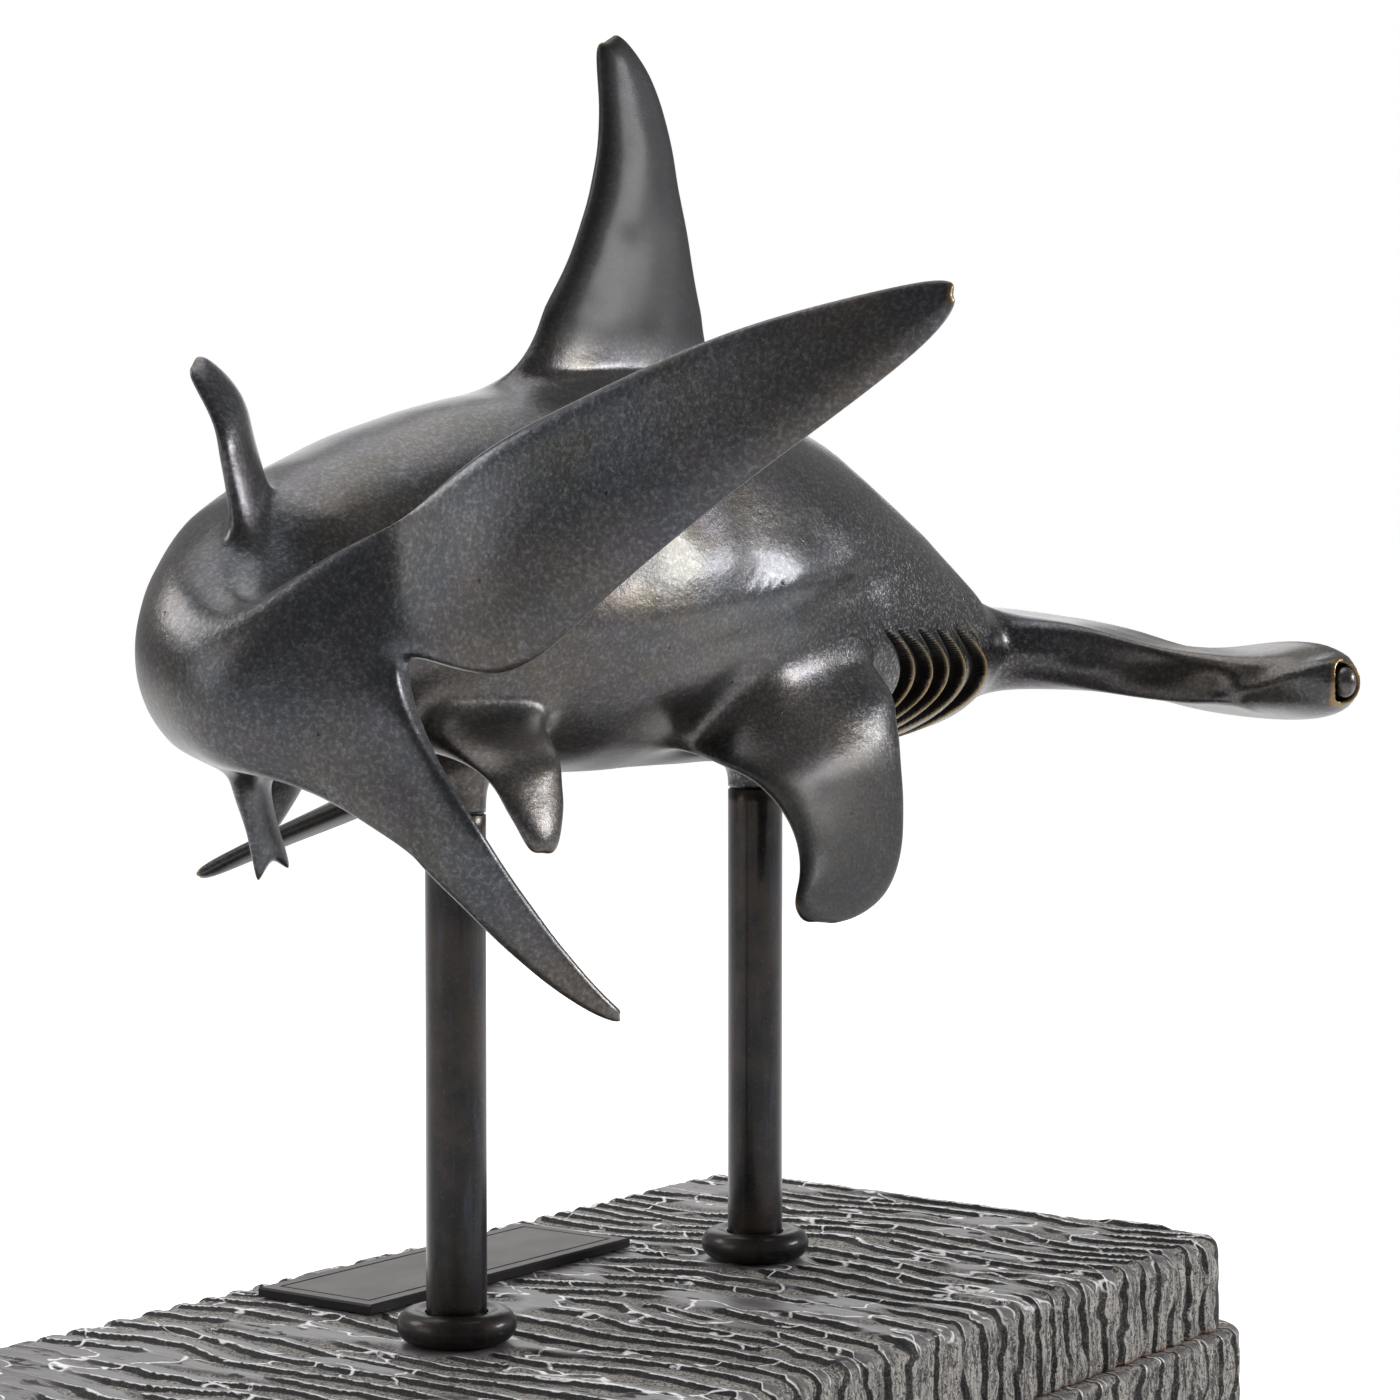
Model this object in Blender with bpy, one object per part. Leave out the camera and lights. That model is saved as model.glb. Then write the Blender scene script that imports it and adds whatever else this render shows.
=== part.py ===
"""Bronze hammerhead shark figurine on two posts, over a carved two-tier stone base.

All sizes are millimetres and are scaled to metres when a mesh is made. The frame has +Z up,
+X from the tail towards the head along the base, and its origin under the middle of the base.
"""
import math

import bmesh
import bpy
import numpy as np
from mathutils import Matrix

MM = 0.001
GAP = 0.3

BASE_LENGTH = 285.0
BASE_WIDTH = 146.0
UPPER_SLAB_HEIGHT = 21.0
LOWER_SLAB_HEIGHT = 18.0
LOWER_SLAB_LEDGE = 3.5
SLAB_CORNER_RADIUS = 13.0
SLAB_EDGE_ROUND = 4.5
LOWER_EDGE_ROUND = 2.5
FELT_THICKNESS = 1.2
FELT_INSET = 4.0

RIDGE_PITCH = 7.5
RIDGE_DEPTH = 1.4
RIDGE_WANDER = 2.4
RIDGE_CREST = 0.3
FLUTE_DEPTH = 1.1
RIDGE_ROWS = 9
LOWER_RIDGE_PITCH = 2 * RIDGE_PITCH
SEAT_MARGIN = 2.0
ROUND_SEGMENTS = 24

POST_SPACING = 103.0
POST_DIAMETER = 12.0
POST_HEIGHT = 104.0
STUD_DIAMETER = 8.0
STUD_CLEARANCE = 0.3
COLLAR_DIAMETER = 24.0
COLLAR_HEIGHT = 6.4
COLLAR_DISH = 0.6
COLLAR_CLEARANCE = 0.3
COLLAR_ANGLES = (-90.0, -50.0, -18.0, 18.0, 50.0, 90.0)

WASHER_DIAMETER = 20.0
WASHER_THICKNESS = 1.6
NUT_WIDTH = 13.0
NUT_HEIGHT = 6.5
NUT_SIDES = 6
COUNTERBORE_DIAMETER = 26.0
COUNTERBORE_DEPTH = 11.0
STUD_STICKOUT = 1.2
STUD_CHAMFER = 0.8

PLATE_LENGTH = 88.0
PLATE_WIDTH = 31.0
PLATE_THICKNESS = 2.0
PLATE_EDGE = 13.0
PLATE_OFFSET = BASE_WIDTH / 2 - PLATE_EDGE - PLATE_WIDTH / 2
PLATE_BORDER_INSET = 3.0
PLATE_BORDER_WIDTH = 0.7
PLATE_BORDER_DEPTH = 0.4
PLATE_BEVEL = 0.4

BOSS_FLARE = 3.6
BOSS_LENGTH = 6.9
BOSS_ROOT = 9.0
CUT_MARGIN = 1.0

SHARK_LENGTH = 306.0

FELT_TOP = FELT_THICKNESS
LOWER_BOTTOM = FELT_TOP + GAP
LOWER_TOP = LOWER_BOTTOM + LOWER_SLAB_HEIGHT
UPPER_BOTTOM = LOWER_TOP + GAP
STONE_TOP = UPPER_BOTTOM + UPPER_SLAB_HEIGHT
POST_FOOT = STONE_TOP + GAP
POST_TOP = POST_FOOT + POST_HEIGHT
BOSS_BOTTOM = POST_TOP + GAP
COUNTERBORE_ROOF = LOWER_BOTTOM + COUNTERBORE_DEPTH
WASHER_TOP = COUNTERBORE_ROOF - GAP
WASHER_BOTTOM = WASHER_TOP - WASHER_THICKNESS
NUT_TOP = WASHER_BOTTOM - GAP
NUT_BOTTOM = NUT_TOP - NUT_HEIGHT
STUD_END = NUT_BOTTOM - STUD_STICKOUT
REAR_POST_X = -POST_SPACING / 2
FRONT_POST_X = POST_SPACING / 2

SHARP_ANGLE = 35.0
CORNER_STEPS = 4

# Columns of a ring round the body, and how far and how often the control mesh is drawn out.
COLUMNS = 16
TOP_COLUMN = 15
BELLY_COLUMN = 7
CAGE_REACH = 2.6
CAGE_ROUNDS = 3
SMOOTH_LEVELS = 1

# Ridge lines wander in waves: wave length across, wave length along and share of the wander.
RIDGE_WAVES = ((61.0, 97.0, 1.0), (24.0, -41.0, 0.45))

# Extra ridge lines round a slab's corner: turn in degrees, and share of the groove's depth.
CORNER_LINES = ((35.0, 0.0), (65.0, 1.0), (90.0, 0.0))
EDGE_ANGLES = (40.0, 90.0)

# Foot under the belly: share of the flare at each share of its length.
BOSS_PROFILE = ((0.08, 0.3), (0.35, 0.62), (1.0, 1.0))

# Fin section: thickness at its edges and inside, and where along the chord it is fullest.
LENS_EDGE = 0.5
LENS_FLAT = 0.55
LENS_SWELL = 0.45
LENS_STRETCH = 0.85
LENS_START = 0.12

# The animal's tables are drawn at their own size and scaled to SHARK_LENGTH.

# Trunk stations from the tail to the neck: along, across, turn of the body towards its right
# in degrees, top and bottom from the datum, half width, how far the widest place lies below
# the middle as a share of the height, and how far the columns of the flank slide down round
# the ring, in degrees, so that they follow the pectoral fin's root.
TRUNK = (
    (-115.0, -40.5, 105.0, 9.5, -47.0, 3.0, 0.0, 0.0),
    (-120.0, -24.5, 103.0, 1.0, -38.0, 7.0, 0.0, 0.0),
    (-123.0, -13.0, 78.0, -6.0, -35.0, 11.0, 0.0, 0.0),
    (-115.0, -3.0, 52.0, 3.5, -35.5, 17.0, 0.0, 0.0),
    (-109.0, 1.5, 38.0, 9.5, -36.0, 20.0, 0.0, 0.0),
    (-101.0, 5.0, 24.0, 15.5, -36.5, 22.5, 0.0, 0.0),
    (-91.0, 7.5, 14.0, 19.5, -37.0, 25.0, 0.02, 0.0),
    (-80.0, 8.5, 7.0, 23.5, -37.5, 27.5, 0.04, 0.0),
    (-64.0, 8.0, 4.0, 29.0, -38.5, 30.0, 0.06, 0.0),
    (-48.0, 5.5, 3.0, 33.5, -39.0, 31.0, 0.08, 0.0),
    (-33.0, 3.0, 2.0, 37.5, -39.0, 31.5, 0.08, 6.0),
    (-17.0, 1.0, 1.0, 39.5, -39.5, 31.5, 0.08, 20.0),
    (0.0, 0.0, 0.0, 40.5, -39.5, 31.5, 0.08, 38.0),
    (17.0, 0.0, 0.0, 39.5, -39.5, 31.0, 0.10, 10.0),
    (32.0, 0.0, 0.0, 38.0, -39.5, 30.5, 0.12, 2.0),
    (44.0, 0.0, 0.0, 36.0, -39.5, 30.0, 0.14, 0.0),
    (56.0, 0.0, 0.0, 33.0, -39.0, 29.0, 0.14, 0.0),
    (67.0, 0.0, 0.0, 29.5, -39.0, 28.0, 0.12, 0.0),
    (76.0, 0.0, 0.0, 25.5, -38.8, 27.0, 0.10, 0.0),
    (84.0, 0.0, 0.0, 21.5, -38.6, 26.0, 0.08, 0.0),
    (92.0, 0.0, 0.0, 17.2, -38.2, 25.0, 0.06, 0.0),
    (100.0, 0.0, 0.0, 13.0, -37.6, 24.0, 0.05, 0.0),
    (108.0, 0.0, 0.0, 8.4, -36.6, 23.0, 0.04, 0.0),
    (117.0, 0.0, 0.0, 2.4, -34.6, 22.0, 0.02, 0.0),
    (127.0, 0.0, 0.0, -3.8, -30.5, 20.5, 0.0, 0.0),
)

# Where a station holds its heights, half width and drop, and the stations that run straight
# ahead over the belly and the neck.
TOP, BOTTOM, HALF_WIDTH, DROP = 3, 4, 5, 6
STRAIGHT_TRUNK = TRUNK[8:]

# Openings for the fins: their rows of stations and columns of the ring.
FIRST_DORSAL_ROWS = (10, 14)
SECOND_DORSAL_ROWS = (3, 5)
ANAL_ROWS = (3, 5)
PELVIC_ROWS = (7, 9)
PECTORAL_ROWS = (12, 16)
PELVIC_COLUMN = 5
PECTORAL_COLUMN = 4

# Head rows from the rear edge to the front edge: for the four columns out to one wing end,
# place along, place across, and top and bottom from the datum.
HEAD = (
    ((136.0, 135.5, 136.0, 137.0), (6.0, 16.0, 28.0, 38.0),
     (-8.0, -9.0, -11.5, -15.0), (-27.0, -27.0, -26.0, -26.0)),
    ((143.0, 142.5, 141.0, 138.5), (9.0, 27.0, 46.0, 62.0),
     (-8.2, -11.0, -15.5, -19.5), (-26.0, -27.0, -28.5, -30.0)),
    ((152.0, 151.0, 148.0, 137.0), (15.0, 42.0, 66.0, 88.0),
     (-8.8, -14.5, -18.0, -18.5), (-25.5, -27.5, -31.0, -30.0)),
    ((163.0, 161.0, 155.0, 144.0), (20.0, 47.0, 73.0, 98.5),
     (-9.6, -17.9, -15.6, -16.8), (-26.0, -31.2, -33.4, -31.6)),
    ((174.0, 171.0, 162.0, 151.0), (20.0, 47.0, 73.0, 98.0),
     (-10.5, -18.0, -15.8, -17.2), (-26.0, -31.0, -33.0, -31.4)),
    ((183.0, 180.5, 170.0, 157.0), (18.0, 44.0, 68.0, 91.0),
     (-15.0, -20.0, -20.0, -21.5), (-23.5, -27.5, -29.5, -28.0)),
)

# Fin stations from the root to the tip: front edge, rear edge, half thickness, and how far
# the middle of the edge is cut back.
FIRST_DORSAL = (
    ((34.0, 0.0, 45.5), (-29.5, 0.0, 43.0), 5.4, 0.0),
    ((28.0, 0.0, 55.0), (-20.5, 0.0, 54.0), 4.4, 0.0),
    ((23.5, 0.0, 70.0), (-10.0, 0.0, 70.0), 3.7, 0.0),
    ((19.0, 0.0, 88.0), (-4.0, 0.0, 86.5), 3.0, 0.0),
    ((12.5, 0.0, 103.0), (-3.6, 0.0, 99.5), 2.3, 0.0),
    ((3.0, 0.0, 111.0), (-4.6, 0.0, 107.5), 1.6, 0.0),
)
SECOND_DORSAL = (
    ((-100.0, 7.0, 20.0), (-113.5, 0.0, 11.0), 2.8, 0.0),
    ((-102.5, 7.0, 27.0), (-114.5, 1.0, 19.0), 2.2, 0.0),
    ((-106.0, 7.0, 34.0), (-115.5, 2.5, 27.5), 1.7, 0.0),
    ((-111.0, 10.0, 39.5), (-116.5, 7.5, 35.5), 1.3, 0.0),
)
ANAL = (
    ((-98.5, 6.5, -41.0), (-112.0, 1.0, -40.0), 2.6, 0.0),
    ((-96.0, 6.0, -48.5), (-107.5, 2.0, -47.5), 1.9, 0.0),
    ((-91.5, 6.5, -56.5), (-103.8, 4.0, -58.5), 1.2, 5.5),
)
PELVIC = (
    ((-57.0, 30.0, -33.5), (-79.0, 28.0, -35.5), 3.0, 0.0),
    ((-59.0, 32.0, -38.5), (-76.5, 31.5, -40.5), 2.4, 0.0),
    ((-62.0, 34.0, -45.0), (-74.3, 33.8, -45.5), 1.9, 0.0),
    ((-65.5, 35.5, -50.8), (-72.0, 35.3, -50.5), 1.3, 0.0),
)
RIGHT_PECTORAL = (
    ((55.0, -34.0, -24.5), (-1.4, -27.0, -37.5), 4.8, 0.0),
    ((50.5, -36.0, -33.0), (3.0, -34.0, -41.0), 4.1, 0.0),
    ((48.8, -38.0, -41.0), (7.5, -37.3, -46.0), 3.6, 0.0),
    ((48.0, -39.5, -50.0), (10.5, -39.3, -52.0), 3.2, 0.0),
    ((45.8, -40.7, -57.0), (11.0, -40.5, -57.5), 2.8, 0.0),
    ((41.2, -41.5, -63.8), (9.2, -41.5, -62.5), 2.4, 0.0),
    ((32.5, -42.0, -69.3), (6.8, -42.0, -67.0), 2.0, 0.0),
    ((21.0, -42.5, -71.6), (8.5, -42.5, -70.0), 1.5, 0.0),
)
LEFT_PECTORAL = (
    ((55.0, 37.0, -24.0), (1.0, 28.0, -36.5), 4.6, 0.0),
    ((46.0, 50.0, -31.5), (4.0, 44.0, -39.5), 3.9, 0.0),
    ((30.0, 65.0, -41.5), (-3.0, 58.0, -46.0), 3.2, 0.0),
    ((8.0, 78.0, -52.0), (-14.0, 71.0, -53.0), 2.6, 0.0),
    ((-13.0, 86.0, -60.0), (-24.0, 82.0, -59.5), 1.9, 0.0),
    ((-26.5, 90.5, -65.0), (-30.0, 89.0, -64.0), 1.3, 0.0),
)
UPPER_LOBE = (
    ((-111.0, -56.0, 20.5), (-111.5, -60.5, -19.0), 2.6, 0.0),
    ((-107.0, -73.0, 28.0), (-107.5, -76.0, -5.0), 2.3, 0.0),
    ((-101.5, -96.0, 38.0), (-103.0, -97.0, 11.5), 2.0, 0.0),
    ((-96.0, -117.0, 44.0), (-97.5, -117.5, 26.0), 1.8, 0.0),
    ((-91.0, -132.0, 47.5), (-91.5, -132.5, 38.0), 1.5, 0.0),
    ((-89.3, -136.5, 47.5), (-89.5, -136.8, 43.5), 1.2, 0.0),
)
LOWER_LOBE = (
    ((-110.0, -45.0, -53.0), (-110.0, -51.5, -42.0), 2.6, 0.0),
    ((-103.0, -50.5, -62.0), (-103.5, -54.5, -52.0), 2.2, 0.0),
    ((-94.0, -55.0, -71.0), (-94.5, -57.0, -63.0), 1.9, 0.0),
    ((-84.5, -59.5, -78.0), (-85.0, -60.0, -73.5), 1.5, 0.0),
    ((-80.0, -61.0, -79.8), (-80.3, -61.2, -77.5), 1.2, 0.0),
)

# Gills: a lip's place along at its two ends, how much further forward its middle lies, and the
# width and depth of the crescent cut behind it.
GILLS = (
    (60.0, 16.5, 5.5, 3.4),
    (65.5, 20.5, 6.4, 3.6),
    (76.0, 18.0, 6.4, 3.6),
    (85.5, 17.5, 6.4, 3.4),
    (96.5, 17.0, 6.0, 3.0),
)
GILL_MIDDLE = -24.5
GILL_HALF_SPAN = 13.0
GILL_STATIONS = 9
GILL_END = 0.94
GILL_PROUD = 1.8

# Eye: the head row whose wing end carries it, how far forward of that row it lies, and its
# sizes as shares of the wing end's thickness.
EYE_ROW = 3
EYE_FORWARD = 0.2
EYE_SOCKET_SHARE = 0.34
EYE_BALL_SHARE = 0.22
EYE_SINK_SHARE = 0.19
EYE_SOCKET_SEGMENTS = (14, 9)
EYE_BALL_SEGMENTS = (12, 8)

BODY_SCALE = SHARK_LENGTH / (HEAD[-1][0][0] - min(station[0] for station in TRUNK))
BELLY_DEPTH = max(-station[BOTTOM] for station in STRAIGHT_TRUNK) * BODY_SCALE
SHARK_DATUM = BOSS_BOTTOM + BOSS_LENGTH + BELLY_DEPTH


def clear_scene():
    """Start from an empty scene."""
    for obj in list(bpy.data.objects):
        bpy.data.objects.remove(obj)


def principled(name, colour, roughness, metallic):
    """A plain Principled material."""
    material = bpy.data.materials.new(name)
    material.use_nodes = True
    shader = material.node_tree.nodes["Principled BSDF"]
    shader.inputs["Base Color"].default_value = (*colour, 1.0)
    shader.inputs["Roughness"].default_value = roughness
    shader.inputs["Metallic"].default_value = metallic
    return material


def object_from_bmesh(name, bm, material=None):
    """Scale a millimetre mesh to metres and link it as an object."""
    bmesh.ops.scale(bm, vec=(MM, MM, MM), verts=bm.verts)
    bmesh.ops.recalc_face_normals(bm, faces=bm.faces)
    mesh = bpy.data.meshes.new(name)
    bm.to_mesh(mesh)
    bm.free()
    mesh.shade_smooth()
    mesh.set_sharp_from_angle(angle=math.radians(SHARP_ANGLE))
    obj = bpy.data.objects.new(name, mesh)
    bpy.context.scene.collection.objects.link(obj)
    if material is not None:
        mesh.materials.append(material)
    return obj


def turned(profile, segments, centre=(0.0, 0.0)):
    """Turn a closed profile of (radius, height) points about an upright axis at centre."""
    bm = bmesh.new()
    rings = []
    for radius, height in profile:
        if radius == 0.0:
            rings.append([bm.verts.new((centre[0], centre[1], height))])
            continue
        ring = []
        for i in range(segments):
            angle = 2 * math.pi * i / segments
            ring.append(bm.verts.new((centre[0] + radius * math.cos(angle),
                                      centre[1] + radius * math.sin(angle), height)))
        rings.append(ring)
    closed = profile[0][0] > 0.0
    pairs = list(zip(rings, rings[1:] + rings[:1])) if closed else list(zip(rings, rings[1:]))
    for lower, upper in pairs:
        for i in range(segments):
            j = (i + 1) % segments
            corners = [lower[i % len(lower)], lower[j % len(lower)],
                       upper[j % len(upper)], upper[i % len(upper)]]
            unique = list(dict.fromkeys(corners))
            if len(unique) > 2:
                bm.faces.new(unique)
    return bm


def cutter_object(name, bm):
    """An unrendered wire object for a Boolean."""
    obj = object_from_bmesh(name, bm)
    obj.hide_render = True
    obj.display_type = "WIRE"
    return obj


def add_boolean(obj, other, operation):
    """Add an exact Boolean with another object."""
    modifier = obj.modifiers.new(f"{operation} {other.name}", "BOOLEAN")
    modifier.object = other
    modifier.operation = operation
    modifier.solver = "EXACT"
    return modifier


class Cage:
    """Control mesh of the casting, with one design point for each control vertex."""

    def __init__(self):
        self.points = []
        self.faces = []

    def loop(self, points):
        """Add points and return their numbers."""
        first = len(self.points)
        self.points.extend(tuple(float(value) for value in point) for point in points)
        return list(range(first, len(self.points)))

    def bridge(self, first, second, closed=True, skip=()):
        """Join two loops of equal length with quads, leaving out the skipped columns."""
        count = len(first)
        for k in range(count if closed else count - 1):
            if k in skip:
                continue
            n = (k + 1) % count
            self.faces.append((first[k], first[n], second[n], second[k]))

    def cap(self, loop):
        """Close a flat loop by joining each point to the one across from it."""
        half = len(loop) // 2
        for k in range(half - 1):
            self.faces.append((loop[k], loop[k + 1], loop[-2 - k], loop[-1 - k]))

    def control_mesh(self):
        """Move the control vertices, by CAGE_REACH at most, so that the smooth surface meets
        the design points."""
        bm = bmesh.new()
        verts = [bm.verts.new(point) for point in self.points]
        for face in self.faces:
            bm.faces.new([verts[i] for i in face])
        bm.verts.index_update()
        target = np.array(self.points)
        weights = []
        for vert in verts:
            valence = len(vert.link_edges)
            neighbours = [edge.other_vert(vert).index for edge in vert.link_edges]
            corners = [corner.index for face in vert.link_faces for corner in face.verts
                       if corner is not vert and corner.index not in neighbours]
            total = valence * (valence + 5)
            weights.append((valence * valence / total, 4 / total, neighbours, 1 / total, corners))
        control = target.copy()
        for _ in range(CAGE_ROUNDS):
            limit = np.array([
                own * control[i] + edge * control[near].sum(axis=0) + face * control[far].sum(axis=0)
                for i, (own, edge, near, face, far) in enumerate(weights)])
            shift = control - limit
            length = np.linalg.norm(shift, axis=1, keepdims=True)
            control = target + shift * np.minimum(1.0, CAGE_REACH / np.maximum(length, 1e-9))
        for vert, place in zip(verts, control):
            vert.co = place
        return bm


def slid(angle, slide):
    """Move an angle round the ring down towards the belly, most at the height of the flank."""
    mirrored_side = angle > math.pi
    own = 2 * math.pi - angle if mirrored_side else angle
    share = math.sin(own) * (math.sin(own) if own < math.pi / 2 else 1.0)
    own += math.radians(slide) * share
    return 2 * math.pi - own if mirrored_side else own


def trunk_ring(along, across, turn, top, bottom, half_width, drop, slide):
    """Sixteen points round the trunk, from left of the back round by the left flank."""
    middle = (top + bottom) / 2 - drop * (top - bottom)
    sideways = (-math.sin(math.radians(turn)), math.cos(math.radians(turn)))
    ring = []
    for k in range(COLUMNS):
        angle = slid(2 * math.pi * (k + 0.5) / COLUMNS, slide)
        side = half_width * math.sin(angle)
        reach = (top - middle) if math.cos(angle) > 0 else (middle - bottom)
        rise = reach * math.cos(angle) / math.cos(math.pi / COLUMNS)
        ring.append((along + side * sideways[0], across + side * sideways[1], middle + rise))
    return ring


def head_ring(row):
    """Sixteen points round the flat head, in the trunk ring's order."""
    along, across, top, bottom = row
    left = [(x, y, z) for x, y, z in zip(along, across, top)]
    left += [(x, y, z) for x, y, z in reversed(list(zip(along, across, bottom)))]
    right = [(x, -y, z) for x, y, z in reversed(left)]
    return left + right


def fin_section(station, count, outward):
    """A thin lens of 2 * count points, from the rear edge along one face to the front edge
    and back along the other face."""
    front, rear, half_thickness, notch = station
    front = np.array(front)
    rear = np.array(rear)
    chord = front - rear
    inward = -outward / np.linalg.norm(outward)
    normal = np.cross(chord, outward)
    normal /= np.linalg.norm(normal)
    one, other = [], []
    for i in range(count):
        share = i / (count - 1)
        fullness = math.sin(math.pi * min(1.0, share * LENS_STRETCH + LENS_START))
        bulge = half_thickness * (LENS_FLAT + LENS_SWELL * fullness)
        if i in (0, count - 1):
            bulge = half_thickness * LENS_EDGE
        place = rear + chord * share + inward * notch * math.sin(math.pi * share)
        one.append(place + normal * bulge)
        other.append(place - normal * bulge)
    return one + other[::-1]


def grow_fin(cage, root, stations):
    """Grow a fin from a root loop that runs rear to front on one side and back on the other."""
    count = len(root) // 2
    loop = root
    for i, station in enumerate(stations):
        before = stations[max(0, i - 1)]
        after = stations[min(len(stations) - 1, i + 1)]
        outward = (np.array(after[0]) + np.array(after[1])
                   - np.array(before[0]) - np.array(before[1]))
        section = cage.loop(fin_section(station, count, outward))
        cage.bridge(loop, section)
        loop = section
    cage.cap(loop)


def mirrored(stations):
    """The same fin on the other side of the body."""
    return tuple(((fx, -fy, fz), (rx, -ry, rz), thickness, notch)
                 for (fx, fy, fz), (rx, ry, rz), thickness, notch in stations)


def shark_cage():
    """The control mesh of the whole animal."""
    cage = Cage()
    rings = [cage.loop(trunk_ring(*station)) for station in TRUNK]
    rings += [cage.loop(head_ring(row)) for row in HEAD]
    openings = (
        (FIRST_DORSAL_ROWS, TOP_COLUMN, FIRST_DORSAL),
        (SECOND_DORSAL_ROWS, TOP_COLUMN, SECOND_DORSAL),
        (ANAL_ROWS, BELLY_COLUMN, ANAL),
        (PELVIC_ROWS, PELVIC_COLUMN, PELVIC),
        (PELVIC_ROWS, COLUMNS - 2 - PELVIC_COLUMN, mirrored(PELVIC)),
        (PECTORAL_ROWS, PECTORAL_COLUMN, LEFT_PECTORAL),
        (PECTORAL_ROWS, COLUMNS - 2 - PECTORAL_COLUMN, RIGHT_PECTORAL),
    )
    skipped = {row: set() for row in range(len(rings))}
    for (first, last), column, stations in openings:
        for row in range(first, last):
            skipped[row].add(column)
        one = [rings[row][column] for row in range(first, last + 1)]
        other = [rings[row][(column + 1) % COLUMNS] for row in range(first, last + 1)]
        if cross_side(cage, one, other, stations):
            one, other = other, one
        grow_fin(cage, one + other[::-1], stations)
    for row in range(len(rings) - 1):
        cage.bridge(rings[row], rings[row + 1], skip=skipped[row])
    quarter = COLUMNS // 4
    cage.cap(rings[-1][-quarter:] + rings[-1][:-quarter])
    grow_tail(cage, rings[0])
    return cage


def cross_side(cage, one, other, stations):
    """Whether the first root line lies on the second face's side of the fin's first section."""
    front, rear = stations[0][:2]
    outward = np.array(stations[1][0]) + np.array(stations[1][1]) - np.array(front) - np.array(rear)
    normal = np.cross(np.array(front) - np.array(rear), outward)
    apart = np.array(cage.points[one[0]]) - np.array(cage.points[other[0]])
    return float(normal @ apart) < 0.0


def grow_tail(cage, ring):
    """Fork the last trunk ring into the two lobes of the tail fin, with a web in the notch."""
    quarter = COLUMNS // 4
    upper_left = [ring[k] for k in range(quarter)][::-1]
    upper_right = [ring[COLUMNS - 1 - k] for k in range(quarter)][::-1]
    lower_left = [ring[k] for k in range(quarter, 2 * quarter)]
    lower_right = [ring[COLUMNS - 1 - k] for k in range(quarter, 2 * quarter)]
    cage.faces.append((upper_left[0], lower_left[0], lower_right[0], upper_right[0]))
    for left, right, stations in ((upper_left, upper_right, UPPER_LOBE),
                                  (lower_left, lower_right, LOWER_LOBE)):
        if cross_side(cage, left, right, stations):
            left, right = right, left
        grow_fin(cage, left + right[::-1], stations)


def set_at_datum(bm):
    """Scale what is drawn in the animal's tables and lift it to the datum."""
    bmesh.ops.scale(bm, vec=(BODY_SCALE,) * 3, verts=bm.verts)
    bmesh.ops.translate(bm, vec=(0.0, 0.0, SHARK_DATUM), verts=bm.verts)


def smooth_casting(name, cage):
    """The subdivided casting as an object."""
    bm = cage.control_mesh()
    set_at_datum(bm)
    obj = object_from_bmesh(name, bm)
    obj.data.set_sharp_from_angle(angle=math.pi)
    surface = obj.modifiers.new("Smooth casting", "SUBSURF")
    surface.levels = SMOOTH_LEVELS
    surface.render_levels = SMOOTH_LEVELS
    return obj


def flank(along, height):
    """How far out the trunk's side lies at a place along and a height."""
    stations = np.array(STRAIGHT_TRUNK)
    top, bottom, half, drop = (np.interp(along, stations[:, 0], stations[:, k])
                               for k in (TOP, BOTTOM, HALF_WIDTH, DROP))
    middle = (top + bottom) / 2 - drop * (top - bottom)
    reach = (top - middle) if height > middle else (middle - bottom)
    share = min(1.0, abs(height - middle) / reach)
    return half * math.sqrt(1.0 - share ** 2)


def gill_cutter():
    """Five crescents on each side of the neck, each a wedge that is deepest under its lip."""
    bm = bmesh.new()
    levels = np.linspace(-GILL_END, GILL_END, GILL_STATIONS)
    for place, bow, width, depth in GILLS:
        for side in (-1, 1):
            rings = []
            for level in levels:
                opening = math.sqrt(1.0 - level ** 2)
                height = GILL_MIDDLE + GILL_HALF_SPAN * level
                lip = place + bow * opening ** 2
                back = lip - width * (opening + GILL_PROUD / depth)
                skin, back_skin = flank(lip, height), flank(back, height)
                corners = ((lip, skin + GILL_PROUD), (lip, skin - depth * opening),
                           (back, back_skin + GILL_PROUD))
                rings.append([bm.verts.new((x, side * y, height)) for x, y in corners])
            for lower, upper in zip(rings, rings[1:]):
                for k in range(3):
                    n = (k + 1) % 3
                    bm.faces.new((lower[k], lower[n], upper[n], upper[k]))
            bm.faces.new(rings[0][::-1])
            bm.faces.new(rings[-1])
    set_at_datum(bm)
    return cutter_object("gill_cutter", bm)


def add_ball(bm, centre, radius, segments):
    """Add a ball with its segments round and from pole to pole to a mesh."""
    bmesh.ops.create_uvsphere(bm, u_segments=segments[0], v_segments=segments[1], radius=radius,
                              matrix=Matrix.Translation(centre))


def eye_parts():
    """The two sockets to cut into the wing ends and the two balls to leave in them."""
    along, across, top, bottom = (values[-1] for values in HEAD[EYE_ROW])
    next_along = HEAD[EYE_ROW + 1][0][-1]
    thickness = top - bottom
    place = along + EYE_FORWARD * (next_along - along)
    height = (top + bottom) / 2
    sockets = bmesh.new()
    balls = bmesh.new()
    for side in (-1, 1):
        sunk = across - EYE_SINK_SHARE * thickness
        add_ball(sockets, (place, side * across, height), EYE_SOCKET_SHARE * thickness,
                 EYE_SOCKET_SEGMENTS)
        add_ball(balls, (place, side * sunk, height), EYE_BALL_SHARE * thickness, EYE_BALL_SEGMENTS)
    set_at_datum(sockets)
    set_at_datum(balls)
    return cutter_object("eye_socket_cutter", sockets), cutter_object("eye_ball_shape", balls)


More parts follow.
